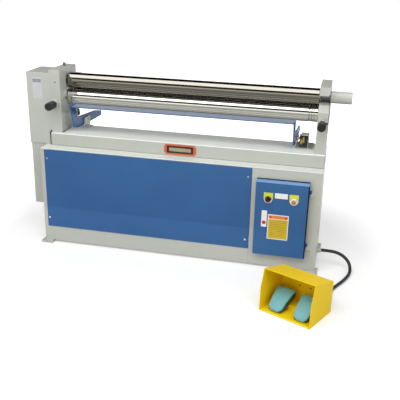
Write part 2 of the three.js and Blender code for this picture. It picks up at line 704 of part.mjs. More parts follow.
// Drive hub: gear, chain wheel and a ball-ended shaft that turns the top roll inside its stub
const driveShaftRadius = 9;
const hubBoss = 20;
const hubEnd = 8; // past the chain wheel
const hubLeft = wheelX[0] - hubEnd;
const hubRight = bearingX[0] - seat;
const headInside = headX[0] + weld;
add('drive_hub', join(
  plateX(toothedOutline({ ...gearForm, turn: Math.PI / gearTeeth }, pinchY, topRollZ), gearX),
  makeWheel(upperWheelTeeth, upperWheelPitch, pinchY, topRollZ),
  turnedX([
    [hubLeft, 0], [hubLeft, hubBoss], [hubRight, hubBoss], [hubRight, hubNeck],
    [headInside, hubNeck], [headInside, driveShaftRadius], [headMidX, driveShaftRadius], [headMidX, 0],
  ], pinchY, topRollZ, 24),
  new THREE.SphereGeometry(ballRadius, 16, 8).translate(headMidX, pinchY, topRollZ)
), castIron);

// Chain as one closed band that grips both wheels from outside
const chainHalfHeight = 5;
const chainSide = 3;
const chainGap = 0.5;
const chainSteps = 12;
const chainX = [wheelX[0] - chainSide, wheelX[1] + chainSide];
const chainGroove = [wheelX[0] - chainGap, wheelX[1] + chainGap];
const [chainRunY, chainRunZ] = [driveY - pinchY, driveZ - topRollZ];
const chainDown = Math.atan2(chainRunZ, chainRunY);
const chainLean = Math.acos((upperWheelPitch - lowerWheelPitch) / Math.hypot(chainRunY, chainRunZ));
function arc(y, z, radius, from, to, steps) {
  return Array.from({ length: steps + 1 }, (_, i) => {
    const angle = from + (to - from) * i / steps;
    return [y + radius * Math.cos(angle), z + radius * Math.sin(angle)];
  });
}
function chainLoop(offset) {
  const upper = upperWheelPitch + offset;
  const lower = lowerWheelPitch + offset;
  return [
    ...arc(pinchY, topRollZ, upper, chainDown + chainLean, chainDown + 2 * Math.PI - chainLean, chainSteps),
    ...arc(driveY, driveZ, lower, chainDown - chainLean, chainDown + chainLean, chainSteps),
  ];
}
add('drive_chain', cut(
  plateX(chainLoop(chainHalfHeight), chainX),
  plateX(chainLoop(-chainHalfHeight), past(chainX)),
  plateX(chainLoop(wheelTipRise + chainGap), chainGroove)
), plainSteel);

// Gear motor on a shelf in the stand's left bay
const gearboxHalf = 55;
const gearboxLength = 120;
const gearboxInset = 20; // from the end panel
const motorRadius = 72;
const motorLength = 260;
const motorFins = 14;
const finHeight = 6;
const finHalf = 2.5;
const motorFoot = 40;
const shelfLength = 427;
const shelfSheet = 6;
const gearboxX = span(leftPanelX[1] + gearboxInset, gearboxLength);
const motorX = span(gearboxX[1] - weld, motorLength);
const shelfTop = driveZ - gearboxHalf - seat;
const shelfX = span(leftPanelX[1] + seat, shelfLength);
const motorZ = shelfTop + seat + motorRadius;
const shelfLeg = shelfX[1] - shelfSheet;
const motorForm = {
  teeth: motorFins, root: motorRadius - finHeight, tip: motorRadius, halfRoot: finHalf, halfTip: finHalf,
};
add('motor_shelf', plateY([
  [shelfX[0], shelfTop - shelfSheet], [shelfLeg, shelfTop - shelfSheet], [shelfLeg, standBottom],
  [shelfX[1], standBottom], [shelfX[1], shelfTop], [shelfX[0], shelfTop],
], leftPanelY), greyPaint);
add('gear_motor', join(
  block(gearboxX, about(driveY, gearboxHalf), about(driveZ, gearboxHalf)),
  plateX(toothedOutline(motorForm, driveY, motorZ), motorX),
  block(shrunk(motorX, motorFoot), about(driveY, motorFoot), [shelfTop + seat, motorZ])
), castIron);
const outputShaft = 12;
const lowerBoss = 14;
add('lower_chain_wheel', join(
  makeWheel(lowerWheelTeeth, lowerWheelPitch, driveY, driveZ),
  turnedX([
    [hubLeft, 0], [hubLeft, lowerBoss], [wheelX[1] + hubEnd, lowerBoss], [wheelX[1] + hubEnd, outputShaft],
    [gearboxX[0] - seat, outputShaft], [gearboxX[0] - seat, 0],
  ], driveY, driveZ, 24)
), castIron);

// Drive covers: two sheet boxes, open to the machine and to each other
const coverReach = 123; // out of the left head
const coverInset = 2; // behind the head's front
const coverDepth = 173;
const coverHeight = 366.7;
const lowerCoverHeight = 333;
const lowerCoverInset = 4; // inside the upper cover
const coverSheet = 2;
const upperCoverX = [headX[0] - coverReach, headX[0] - seat];
const upperCoverY = span(headFront + coverInset, coverDepth);
const upperCoverZ = span(standTop + seat, coverHeight);
const lowerCoverX = [upperCoverX[0] + lowerCoverInset, standLeft - seat];
const lowerCoverY = shrunk(upperCoverY, lowerCoverInset);
const lowerCoverZ = span(standTop, -lowerCoverHeight);
add('gear_cover_upper', cut(
  block(upperCoverX, upperCoverY, upperCoverZ),
  block(
    [upperCoverX[0] + coverSheet, upperCoverX[1] + overrun],
    shrunk(upperCoverY, coverSheet),
    [upperCoverZ[0] - overrun, upperCoverZ[1] - coverSheet]
  )
), greyPaint);
add('gear_cover_lower', cut(
  block(lowerCoverX, lowerCoverY, lowerCoverZ),
  block(
    [lowerCoverX[0] + coverSheet, lowerCoverX[1] + overrun],
    shrunk(lowerCoverY, coverSheet),
    [lowerCoverZ[0] + coverSheet, lowerCoverZ[1] + overrun]
  )
), greyPaint);

// Oil cup on the left head
const cupStem = 5;
const cupStemHeight = 6;
const cupRadius = 9;
const cupHeight = 20;
const cupBehind = 20; // behind the pinch rolls' axes
const cupZ = headTop + seat;
add('oil_cup', turnedZ([
  [cupZ, 0], [cupZ, cupStem], [cupZ + cupStemHeight, cupStem], [cupZ + cupStemHeight, cupRadius],
  [cupZ + cupHeight - rollEdge, cupRadius], [cupZ + cupHeight, cupRadius - rollEdge], [cupZ + cupHeight, 0],
], headMidX, pinchY + cupBehind, 16), plainSteel);

// Safety trip bar: a flat bar along the front on two side arms, pivoted behind the pinch rolls
const armSheet = 6;
const leftArmInset = 52; // from the left head
const rightArmInset = 108; // from the right standard
const armFront = 4; // in front of the bed
const armLength = 423;
const armHeight = 143;
const armFootRise = 7; // above the bed
const armCornerShares = [
  [0.092, 0.147], [0.199, 0.063], [0.435, 0.028], [0.995, 0], [1, 0.182],
  [0.771, 0.329], [0.189, 0.469], [0.156, 0.986], [0, 1],
];
const pivotRise = 32; // above the bed
const pinRadius = 6;
const barFront = 5;
const barDepth = 70;
const barThickness = 6;
const barRise = 137; // bar's foot above the bed
const leftArmX = span(leftArmInset, armSheet);
const rightArmX = span(rollSpan - rightArmInset, armSheet);
const pivotY = rearY;
const pivotZ = bedTop + pivotRise;
const barZ = span(bedTop + barRise, barThickness);
function makeArm(xs) {
  const outline = fromShares(armCornerShares, -armFront, bedTop + armFootRise, armLength, armHeight);
  return cut(plateX(outline, xs), rodX(past(xs), pinRadius + seat, pivotY, pivotZ, 16));
}
const tabReach = 18;
const tabDepth = 24;
const tabThickness = 5;
const tabFront = 60;
const tabRise = 63;
const tabY = span(tabFront, tabDepth);
const tabZ = span(bedTop + tabRise, tabThickness);
add('trip_front_bar', block([leftArmX[1] + seat, rightArmX[0] - seat], span(barFront, barDepth), barZ), bluePaint);
add('trip_left_arm', makeArm(leftArmX), bluePaint);
add('trip_right_arm', join(makeArm(rightArmX), block([rightArmX[0], rightArmX[1] + tabReach], tabY, tabZ)), bluePaint);

// Brackets on the bed, with the arms' pivot pins; the right one also holds the limit switch
const bracketSheet = 5;
const bracketFoot = 34;
const bracketGap = 2; // beside the arm
const bracketAbove = 16; // over the pin
const bracketBehind = 18; // behind the pin
const bracketFront = 160;
const pinEnd = 3;
const switchFootReach = 86;
const switchWallReach = 60;
const switchBracketFront = 84;
const switchBracketDepth = 52;
const switchBracketRise = 70;
const hoodReach = 37;
const bracketLow = bedTop + seat;
const bracketFootY = [bracketFront, bedDepth - bracketGap];
function makePivotBracket(armX) {
  const wallX = span(armX[1] + bracketGap, bracketSheet);
  return join(
    block(wallX, [bracketFront, pivotY + bracketBehind], [bracketLow, pivotZ + bracketAbove]),
    block(span(wallX[0], bracketFoot), bracketFootY, span(bracketLow, sheet)),
    rodX([armX[0] - pinEnd, wallX[1] + pinEnd], pinRadius, pivotY, pivotZ, 16)
  );
}
const footLeft = rightArmX[1] + bracketGap;
const switchWallX = span(footLeft + switchWallReach, sheet);
const switchBracketY = span(switchBracketFront, switchBracketDepth);
const switchBracketTop = bedTop + switchBracketRise;
add('left_trip_bracket', makePivotBracket(leftArmX), greyPaint);
add('right_trip_bracket', join(
  makePivotBracket(rightArmX),
  block(span(footLeft, switchFootReach), [switchBracketFront, bracketFootY[1]], span(bracketLow, sheet)),
  block(switchWallX, switchBracketY, [bracketLow, switchBracketTop]),
  block(span(switchWallX[1], -hoodReach), switchBracketY, span(switchBracketTop, -sheet))
), greyPaint);

// Limit switch, and the roller lever under the right arm's tab
const switchWidth = 40;
const switchDepth = 36;
const switchHeight = 48;
const switchInset = 8; // behind the bracket's front
const switchDrop = 3; // under the bracket's hood
const leverArm = 30;
const leverDrop = 14; // pivot under the switch's top
const leverInset = 10; // pivot behind the switch's front
const leverThickness = 6;
const leverHalf = 4;
const leverBoss = 6;
const leverShaft = 4;
const leverShaftIn = 6;
const leverGap = 2;
const rollerRadius = 8;
const rollerOverhang = 3;
const rollerGap = 0.4;
const switchX = span(switchWallX[0] - seat, -switchWidth);
const switchY = span(switchBracketFront + switchInset, switchDepth);
const switchZ = span(switchBracketTop - sheet - switchDrop, -switchHeight);
const leverY = switchY[0] + leverInset;
const leverZ = switchZ[1] - leverDrop;
const leverX = span(switchX[0] - leverGap, -leverThickness);
const rollerY = leverY - leverArm;
const rollerZ = tabZ[0] - rollerGap - rollerRadius;
const rollerX = [leverX[0] - rollerOverhang, leverX[1]];
add('limit_switch', cut(
  block(switchX, switchY, switchZ),
  rodX([switchX[0] - overrun, switchX[0] + leverShaftIn + runningGap], leverShaft + seat, leverY, leverZ, 16)
), blackPlastic);
add('switch_lever', join(
  plateX([
    [rollerY, rollerZ - leverHalf], [leverY, leverZ - leverHalf], [leverY, leverZ + leverHalf], [rollerY, rollerZ + leverHalf],
  ], leverX),
  rodX(leverX, leverBoss, leverY, leverZ, 16),
  rodX(rollerX, rollerRadius, rollerY, rollerZ, 16),
  rodX([leverX[0], switchX[0] + leverShaftIn], leverShaft, leverY, leverZ, 16)
), brassMetal);

// Electrical cabinet behind the column's sheet, with a contactor on its back wall
const boxDepth = 160;
const boxMargin = 6; // round the opening
const contactorWidth = 110;
const contactorDepth = 70;
const contactorHeight = 80;
const contactorDrop = 75; // from the cabinet's top
const contactorInset = 45;
const boxX = shrunk(openingX, -boxMargin);
const boxZ = shrunk(openingZ, -boxMargin);
const boxY = span(behindSheet, boxDepth);
add('electrical_box', cut(
  block(boxX, boxY, boxZ),
  block(shrunk(boxX, sheet), [boxY[0] - overrun, boxY[1] - sheet], shrunk(boxZ, sheet))
), greyPaint);
add('contactor', block(
  span(boxX[0] + contactorInset, contactorWidth),
  span(boxY[1] - sheet - seat, -contactorDepth),
  span(boxZ[1] - contactorDrop, -contactorHeight)
), blackPlastic);

// Selector and pilot lamp in the door
const controlReach = 34; // behind the door's sheet
const controlProud = 18;
const bezelRadius = 15;
const bezelDepth = 8;
const lensRadius = 9;
const lensEdge = 3;
const gripHalf = 4;
const gripProud = 22;
const gripTurn = THREE.MathUtils.degToRad(-40);
const controlBack = doorSheetY[1] + controlReach;
const controlFront = doorY[0] - controlProud;
const bezelFace = doorY[0] - seat;
const bezelFront = bezelFace - bezelDepth;
const controlBody = [
  [bezelFront, bezelRadius - rollEdge], [bezelFront + rollEdge, bezelRadius],
  [bezelFace, bezelRadius], [bezelFace, switchBore], [controlBack, switchBore], [controlBack, 0],
];
const grip = block(about(0, gripHalf), [doorY[0] - gripProud, bezelFront + weld], about(0, bezelRadius - rollEdge));
add('selector_knob', join(
  turnedY([[bezelFront, 0], ...controlBody], selectorX, controlZ, 24),
  grip.rotateY(gripTurn).translate(selectorX, 0, controlZ)
), blackPlastic);
add('pilot_lamp', turnedY([
  [controlFront, 0], [controlFront, lensRadius - lensEdge], [controlFront + lensEdge, lensRadius],
  [bezelFront, lensRadius], ...controlBody,
], pilotX, controlZ, 24), amberLens);

// Foot switch on the floor: a hood that is open to the front, with two treadles on one pin
const hoodWidth = 252;
const hoodDepth = 189;
const hoodHeight = 196; // at the brow, from which the top falls to the back
const hoodBack = 153;
const hoodSheet = 3;
const hoodCheek = 105; // upright part of the hood's front edges
const hoodBrow = 24; // top's front edge behind the mouth
const hoodGlandInset = 45; // from the hood's right side
const hoodGlandRise = 25;
const footSwitchInset = 213; // from the stand's right end to the hood's front left corner
const footSwitchY = -489.5;
const footSwitchTurn = THREE.MathUtils.degToRad(-25.3);
const footSwitchX = standRight - footSwitchInset;
const hoodGlandAcross = hoodWidth - hoodGlandInset;
footSwitch.position.set(footSwitchX, footSwitchY, 0);
footSwitch.rotation.z = footSwitchTurn;
const hoodFall = (hoodHeight - hoodBack) / (hoodDepth - hoodBrow);
const underHood = (y) => hoodHeight - hoodSheet - (y - hoodBrow) * hoodFall;
const hoodOutline = [[0, 0], [hoodDepth, 0], [hoodDepth, hoodBack], [hoodBrow, hoodHeight], [0, hoodCheek]];
const hoodInside = [
  [-overrun, hoodSheet], [hoodDepth - hoodSheet, hoodSheet], [hoodDepth - hoodSheet, underHood(hoodDepth - hoodSheet)],
  [-overrun, underHood(-overrun)],
];
add('pedal_guard', cut(
  plateX(hoodOutline, [0, hoodWidth]),
  plateX(hoodInside, [hoodSheet, hoodWidth - hoodSheet]),
  rodY(past([hoodDepth - hoodSheet, hoodDepth]), glandThread + seat, hoodGlandAcross, hoodGlandRise)
), yellowPaint, footSwitch);

const treadleWidth = 66;
const treadleXs = [32, 157];
const treadleFront = 18;
const treadleLow = 6;
const treadleLength = 114;
const treadleHeight = 78;
const treadlePin = 4;
const treadlePinInset = 18; // behind the treadle's front
const treadlePinRise = 10; // above the treadle's foot
const treadleShares = [
  [0.035, 0], [0.263, 0], [0.965, 0.568], [1, 0.919], [0.895, 1], [0.702, 0.92], [0.368, 0.64], [0, 0.2],
];
const treadlePinY = treadleFront + treadlePinInset;
const treadlePinZ = treadleLow + treadlePinRise;
function makeTreadle(x) {
  const xs = span(x, treadleWidth);
  const outline = fromShares(treadleShares, treadleFront, treadleLow, treadleLength, treadleHeight);
  return cut(plateX(outline, xs), rodX(past(xs), treadlePin + seat, treadlePinY, treadlePinZ, 12));
}
add('left_pedal', makeTreadle(treadleXs[0]), tealPaint, footSwitch);
add('right_pedal', makeTreadle(treadleXs[1]), tealPaint, footSwitch);
const pinEnds = shrunk([0, hoodWidth], hoodSheet + seat);
add('pedal_pin', rodX(pinEnds, treadlePin, treadlePinY, treadlePinZ, 12), plainSteel, footSwitch);
const pedalSwitchInset = 74; // behind the treadle's front
const pedalSwitchDepth = 38;
const pedalSwitchHeight = 17;
add('pedal_switch', block(
  [treadleXs[0], treadleXs[1] + treadleWidth],
  span(treadleFront + pedalSwitchInset, pedalSwitchDepth),
  span(hoodSheet + seat, pedalSwitchHeight)
), blackPlastic, footSwitch);

// Glands: one in the stand's end panel and one in the hood's back
const cableDiameter = 16;
const glandHex = 14;
const glandLength = 22;
const glandBehind = 10;
const glandLip = 1.5; // round the cable
function glandProfile(face, panel) {
  const nose = face + glandLength;
  const back = face - seat - panel - glandBehind;
  return [
    [nose, 0], [nose, cableDiameter / 2 + glandLip], [face + glandLength / 2, glandHex], [face, glandHex],
    [face, glandThread], [back, glandThread], [back, 0],
  ];
}
const standGlandFace = standRight + seat;
const hoodGlandFace = hoodDepth + seat;
add('stand_gland', turnedX(glandProfile(standGlandFace, sheet), glandY, glandZ, 16), greyPaint);
add('hood_gland', turnedY(
  glandProfile(hoodGlandFace, hoodSheet), hoodGlandAcross, hoodGlandRise, 16
), greyPaint, footSwitch);

// Foot cable: out of the stand to the right, down to the floor and round to the hood's back
const cableStart = new THREE.Vector3(standGlandFace + glandLength + seat, glandY, glandZ);
const cableEnd = new THREE.Vector3(hoodGlandAcross, hoodGlandFace + glandLength + seat, hoodGlandRise);
cableEnd.applyAxisAngle(unit(0, 0, 1), footSwitchTurn).add(footSwitch.position);
const cablePoints = [
  [54, 20, 89], [89, 21, 86], [121, 22, 75], [147, 21, 56], [163, 15, 37], [170, 1, 21],
  [171, -22, 11.5], [167, -50, 8.5], [159, -80, 8.5], [147, -113, 8.5], [132, -147, 8.5],
  [116, -179, 8.5], [100, -212, 8.5], [89, -246, 9], [85, -281, 12], [84, -313, 17],
  [80.5, -343, 23], [74.5, -364.5, 25],
];
const cablePath = new THREE.CatmullRomCurve3([
  cableStart, ...cablePoints.map(([out, y, z]) => new THREE.Vector3(standRight + out, y, z)), cableEnd,
]);
const cableSides = 8;
const cableSteps = 24;
const cableSection = new THREE.Shape(
  arc(0, 0, cableDiameter / 2, 0, 2 * Math.PI, cableSides).slice(1).map(([x, y]) => new THREE.Vector2(x, y))
);
add('foot_cable', new THREE.ExtrudeGeometry(cableSection, { steps: cableSteps, extrudePath: cablePath }), blackPlastic);

// The origin is under the middle of the machine and its foot switch, on the floor
const extent = new THREE.Box3();
machine.updateMatrixWorld(true);
for (const [name, piece] of Object.entries(pieces)) {
  if (name !== 'foot_cable') extent.expandByObject(piece, true);
}
const middle = extent.getCenter(new THREE.Vector3());
machine.position.set(-middle.x, -middle.y, -extent.min.z);

export default machine;
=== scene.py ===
import json
import math

import bmesh
import bpy
import numpy as np
from mathutils import Matrix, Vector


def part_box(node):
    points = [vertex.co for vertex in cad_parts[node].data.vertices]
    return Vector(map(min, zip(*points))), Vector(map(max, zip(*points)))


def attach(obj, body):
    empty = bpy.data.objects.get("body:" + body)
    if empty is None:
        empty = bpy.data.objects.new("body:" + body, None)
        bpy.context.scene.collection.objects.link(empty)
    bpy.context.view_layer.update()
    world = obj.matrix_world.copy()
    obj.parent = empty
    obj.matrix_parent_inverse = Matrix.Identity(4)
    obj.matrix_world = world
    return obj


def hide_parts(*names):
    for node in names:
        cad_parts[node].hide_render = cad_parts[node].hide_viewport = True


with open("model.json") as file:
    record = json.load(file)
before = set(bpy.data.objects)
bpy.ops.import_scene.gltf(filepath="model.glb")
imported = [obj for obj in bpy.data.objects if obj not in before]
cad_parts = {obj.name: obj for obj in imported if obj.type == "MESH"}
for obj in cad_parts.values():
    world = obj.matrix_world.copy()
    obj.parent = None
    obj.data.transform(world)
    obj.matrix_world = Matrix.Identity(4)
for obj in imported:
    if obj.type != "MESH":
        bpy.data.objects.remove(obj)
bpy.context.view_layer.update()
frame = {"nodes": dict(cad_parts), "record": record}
nodes = frame["nodes"]
print("frame loaded:", len(nodes), "nodes")

# Lengths are millimetres of the machine: X from the left head's inner face, Y from the bed's
# front face, Z from the floor. toRow carries them into the frame, in metres.
bedCorner = np.array([-59.0, 0.0, 517.3])
machineOrigin = np.array(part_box("bed")[0]) * 1000.0 - bedCorner


def toRow(points):
    return (np.asarray(points, float) + machineOrigin) / 1000.0


# The foot switch has its own frame, turned about Z on the floor
footSwitch = {"place": (1118.0, -489.5, 0.0), "turn": math.radians(-25.3)}


def fromFoot(points):
    p = np.asarray(points, float)
    c, s = math.cos(footSwitch["turn"]), math.sin(footSwitch["turn"])
    turned = np.stack([p[..., 0] * c - p[..., 1] * s, p[..., 0] * s + p[..., 1] * c, p[..., 2]], -1)
    return turned + np.array(footSwitch["place"])


def unit(v):
    v = np.asarray(v, float)
    return v / np.linalg.norm(v)


def addObject(name, data):
    made = bpy.data.objects.new(name, data)
    bpy.context.scene.collection.objects.link(made)
    return made


tiny = 1e-6  # stands in for zero where a number is divided by it
alike = 0.9  # cosine above which two directions are too alike for a cross product

# Camera at the photographer's place
view = {
    "place": (1398.2, -3016.1, 1470.1),
    "yaw": -0.217,
    "pitch": 0.363,
    "roll": -0.024,
    "focalPixels": 655.85,
    "framePixels": 400,
    "sensor": 36.0,
    "clipEnd": 60.0,
}


def makeCamera(s):
    ahead = np.array([
        math.sin(s["yaw"]) * math.cos(s["pitch"]),
        math.cos(s["yaw"]) * math.cos(s["pitch"]),
        -math.sin(s["pitch"]),
    ])
    level = np.array([math.cos(s["yaw"]), -math.sin(s["yaw"]), 0.0])
    down = np.cross(ahead, level)
    right = level * math.cos(s["roll"]) + down * math.sin(s["roll"])
    low = -level * math.sin(s["roll"]) + down * math.cos(s["roll"])
    lens = bpy.data.cameras.new("camera")
    lens.sensor_width = s["sensor"]
    lens.lens = s["focalPixels"] / s["framePixels"] * s["sensor"]
    lens.clip_end = s["clipEnd"]
    camera = addObject("camera", lens)
    spot = toRow(s["place"])
    camera.matrix_world = Matrix([
        [right[i], -low[i], -ahead[i], spot[i]] for i in range(3)
    ] + [[0.0, 0.0, 0.0, 1.0]])
    bpy.context.scene.camera = camera


makeCamera(view)
print("camera placed")


# Materials: every finish is built from noise on object coordinates, and some paints add a painted top light,
# a lighter colour on faces that look up
def blankFinish(name, roughness, metallic=0.0, specular=0.5, coat=0.0, coatRoughness=0.2):
    material = bpy.data.materials.new(name)
    material.use_nodes = True
    tree = material.node_tree
    shader = tree.nodes["Principled BSDF"]
    shader.inputs["Roughness"].default_value = roughness
    shader.inputs["Metallic"].default_value = metallic
    shader.inputs["Specular IOR Level"].default_value = specular
    shader.inputs["Coat Weight"].default_value = coat
    shader.inputs["Coat Roughness"].default_value = coatRoughness
    return material, tree, shader


def objectNoise(tree, scale, detail=3.0, stretch=(1.0, 1.0, 1.0), rough=0.5):
    spot = tree.nodes.new("ShaderNodeTexCoord")
    mapping = tree.nodes.new("ShaderNodeMapping")
    mapping.inputs["Scale"].default_value = stretch
    tree.links.new(spot.outputs["Object"], mapping.inputs["Vector"])
    noise = tree.nodes.new("ShaderNodeTexNoise")
    noise.inputs["Scale"].default_value = scale
    noise.inputs["Detail"].default_value = detail
    noise.inputs["Roughness"].default_value = rough
    tree.links.new(mapping.outputs["Vector"], noise.inputs["Vector"])
    return noise.outputs["Fac"]


def spread(tree, value, low, high, fromLow=0.3, fromHigh=0.7):
    ranged = tree.nodes.new("ShaderNodeMapRange")
    ranged.inputs["From Min"].default_value = fromLow
    ranged.inputs["From Max"].default_value = fromHigh
    ranged.inputs["To Min"].default_value = low
    ranged.inputs["To Max"].default_value = high
    tree.links.new(value, ranged.inputs["Value"])
    return ranged.outputs["Result"]


def blendColours(tree, factor, first, second):
    mix = tree.nodes.new("ShaderNodeMix")
    mix.data_type = "RGBA"
    tree.links.new(factor, mix.inputs["Factor"])
    for socket, colour in ((mix.inputs["A"], first), (mix.inputs["B"], second)):
        if isinstance(colour, tuple):
            socket.default_value = (*colour, 1.0)
        else:
            tree.links.new(colour, socket)
    return mix.outputs["Result"]


def addBump(tree, shader, height, depth, strength=1.0):
    bump = tree.nodes.new("ShaderNodeBump")
    bump.inputs["Strength"].default_value = strength
    bump.inputs["Distance"].default_value = depth
    tree.links.new(height, bump.inputs["Height"])
    tree.links.new(bump.outputs["Normal"], shader.inputs["Normal"])


def shade(colour, share):
    return tuple(min(1.0, c * share) for c in colour)


# A finish's own colour, from a little darker to a little lighter along a pattern
def mottled(tree, pattern, s):
    return blendColours(
        tree, spread(tree, pattern, 0.0, 1.0),
        shade(s["colour"], 1.0 - s["mottle"]), shade(s["colour"], 1.0 + s["mottle"]),
    )


# Share of the painted top light, by how far the face looks up: a lighter colour on upward faces stands in for
# light from above
topLightShare = {"starts": 0.3, "full": 0.8}


def facingUp(tree, s):
    surface = tree.nodes.new("ShaderNodeNewGeometry")
    parts = tree.nodes.new("ShaderNodeSeparateXYZ")
    tree.links.new(surface.outputs["Normal"], parts.inputs[0])
    return spread(tree, parts.outputs["Z"], 0.0, 1.0, s["starts"], s["full"])


# Paint: broad clouds of tone, fine specks of dust and the faint orange peel of a sprayed coat
paintGrain = {
    "cloudScale": 4.0, "cloudDetail": 4.0, "speckScale": 90.0, "fineDetail": 2.0, "peelStrength": 0.6,
    "dust": 0.12, "dustFrom": 0.55, "dustTo": 0.8, "shinier": 0.05, "duller": 0.07,
}


def paintFinish(name, s):
    g = paintGrain
    material, tree, shader = blankFinish(
        name, s["roughness"], specular=s.get("specular", 0.5), coat=s.get("coat", 0.0),
    )
    cloudy = objectNoise(tree, g["cloudScale"], g["cloudDetail"])
    speck = objectNoise(tree, g["speckScale"], g["fineDetail"])
    dusty = spread(tree, speck, 0.0, g["dust"], g["dustFrom"], g["dustTo"])
    tint = blendColours(tree, dusty, mottled(tree, cloudy, s), s["dustColour"])
    # Upward faces blend to the painted top light: a lighter colour standing in for light from above
    if "paintedTopLight" in s:
        tint = blendColours(tree, facingUp(tree, topLightShare), tint, s["paintedTopLight"])
    tree.links.new(tint, shader.inputs["Base Color"])
    gloss = spread(tree, cloudy, s["roughness"] - g["shinier"], s["roughness"] + g["duller"])
    tree.links.new(gloss, shader.inputs["Roughness"])
    peel = objectNoise(tree, s["peelScale"], g["fineDetail"])
    addBump(tree, shader, peel, s["peelDepth"], g["peelStrength"])
    return material


greySettings = {
    "colour": (0.5, 0.515, 0.465), "dustColour": (0.42, 0.42, 0.37), "roughness": 0.42, "mottle": 0.025,
    "peelScale": 420.0, "peelDepth": 0.00012, "coat": 0.15,
}
castSettings = {
    **greySettings, "roughness": 0.5, "peelScale": 170.0, "peelDepth": 0.0005, "mottle": 0.035,
}
greyPaint = paintFinish("greyPaint", greySettings)
# The stand top is the grey paint made lighter, with a paler top: painted light from above on the ledge
litLedgePaint = paintFinish("litLedgePaint", {
    **greySettings, "colour": (0.66, 0.675, 0.62), "paintedTopLight": (0.76, 0.78, 0.73),
})
castPaint = paintFinish("castPaint", castSettings)
headPaint = paintFinish("headPaint", {**castSettings, "colour": (0.485, 0.5, 0.445)})
# The bed's upward faces are painted near white: painted light standing in for the light that the rolls keep
# off its top
bedPaint = paintFinish("bedPaint", {
    **castSettings, "colour": (0.47, 0.485, 0.435), "paintedTopLight": (0.94, 0.96, 0.91),
})
# The blue paint's upward faces turn a lighter blue: painted light from above
blueSettings = {
    "colour": (0.033, 0.118, 0.3), "dustColour": (0.06, 0.15, 0.32), "roughness": 0.42, "mottle": 0.05,
    "peelScale": 380.0, "peelDepth": 0.00014, "specular": 0.25, "coat": 0.05,
    "paintedTopLight": (0.13, 0.27, 0.52),
}
bluePaint = paintFinish("bluePaint", blueSettings)
# The safety bar: a greyer blue, and a paler top as painted sheen of light from above
barPaint = paintFinish("barPaint", {
    **blueSettings, "colour": (0.08, 0.13, 0.24), "paintedTopLight": (0.22, 0.28, 0.39),
})
# Near-black paint for the painted shadow strips along the door
doorShadowPaint = paintFinish("doorShadowPaint", {
    "colour": (0.006, 0.009, 0.02), "dustColour": (0.02, 0.025, 0.04), "roughness": 0.5, "mottle": 0.1,
    "peelScale": 380.0, "peelDepth": 0.00014, "specular": 0.2,
})
yellowSettings = {
    "colour": (0.93, 0.64, 0.004), "dustColour": (0.82, 0.5, 0.008), "roughness": 0.42, "mottle": 0.03,
    "peelScale": 300.0, "peelDepth": 0.00016, "specular": 0.12,
}
yellowPaint = paintFinish("yellowPaint", yellowSettings)
# A paler yellow for the hood's front lip: a painted highlight along its hem
hemHighlightYellow = paintFinish("hemHighlightYellow", {
    **yellowSettings, "colour": (0.98, 0.83, 0.08), "dustColour": (0.9, 0.7, 0.05), "roughness": 0.4,
    "specular": 0.2,
})
motorPaint = paintFinish("motorPaint", {
    "colour": (0.1, 0.12, 0.14), "dustColour": (0.2, 0.19, 0.17), "roughness": 0.55, "mottle": 0.1,
    "peelScale": 120.0, "peelDepth": 0.0006,
})
redEnamel = paintFinish("redEnamel", {
    "colour": (0.62, 0.1, 0.035), "dustColour": (0.5, 0.12, 0.05), "roughness": 0.3, "mottle": 0.05,
    "peelScale": 260.0, "peelDepth": 0.0001, "coat": 0.4,
})

# Plastic, rubber and printed card: hardly any clouding and a fine grain
plainGrain = {"cloudScale": 30.0, "detail": 3.0, "shinier": 0.04, "duller": 0.06, "grainStrength": 0.6}


def plainFinish(name, s):
    g = plainGrain
    material, tree, shader = blankFinish(
        name, s["roughness"], specular=s.get("specular", 0.5), coat=s.get("coat", 0.0),
    )
    cloudy = objectNoise(tree, g["cloudScale"], g["detail"])
    tree.links.new(mottled(tree, cloudy, s), shader.inputs["Base Color"])
    gloss = spread(tree, cloudy, s["roughness"] - g["shinier"], s["roughness"] + g["duller"])
    tree.links.new(gloss, shader.inputs["Roughness"])
    grain = objectNoise(tree, s["grainScale"], g["detail"])
    addBump(tree, shader, grain, s["grainDepth"], g["grainStrength"])
    return material


blackPlastic = plainFinish("blackPlastic", {
    "colour": (0.012, 0.012, 0.014), "roughness": 0.38, "mottle": 0.2,
    "grainScale": 900.0, "grainDepth": 0.00015,
})
rubberBlack = plainFinish("rubberBlack", {
    "colour": (0.014, 0.014, 0.015), "roughness": 0.45, "mottle": 0.15,
    "grainScale": 700.0, "grainDepth": 0.0001,
})
tealPad = plainFinish("tealPad", {
    "colour": (0.16, 0.42, 0.47), "roughness": 0.5, "mottle": 0.05, "specular": 0.3, "coat": 0.03,
    "grainScale": 500.0, "grainDepth": 0.00025,
})
greenSide = plainFinish("greenSide", {
    "colour": (0.035, 0.085, 0.055), "roughness": 0.55, "mottle": 0.12,
    "grainScale": 400.0, "grainDepth": 0.0002,
})
glandPlastic = plainFinish("glandPlastic", {
    "colour": (0.5, 0.53, 0.52), "roughness": 0.45, "mottle": 0.04,
    "grainScale": 600.0, "grainDepth": 0.0001,
})
redCap = plainFinish("redCap", {
    "colour": (0.6, 0.03, 0.025), "roughness": 0.35, "mottle": 0.05,
    "grainScale": 700.0, "grainDepth": 0.0001,
})
creamBar = plainFinish("creamBar", {
    "colour": (0.36, 0.3, 0.2), "roughness": 0.35, "mottle": 0.08,
    "grainScale": 600.0, "grainDepth": 0.00005,
})
blackField = plainFinish("blackField", {
    "colour": (0.015, 0.014, 0.012), "roughness": 0.3, "mottle": 0.3,
    "grainScale": 500.0, "grainDepth": 0.00008,
})
cardSettings = {"roughness": 0.35, "grainScale": 900.0, "grainDepth": 0.00003}
warmSettings = {**cardSettings, "roughness": 0.4, "specular": 0.25}
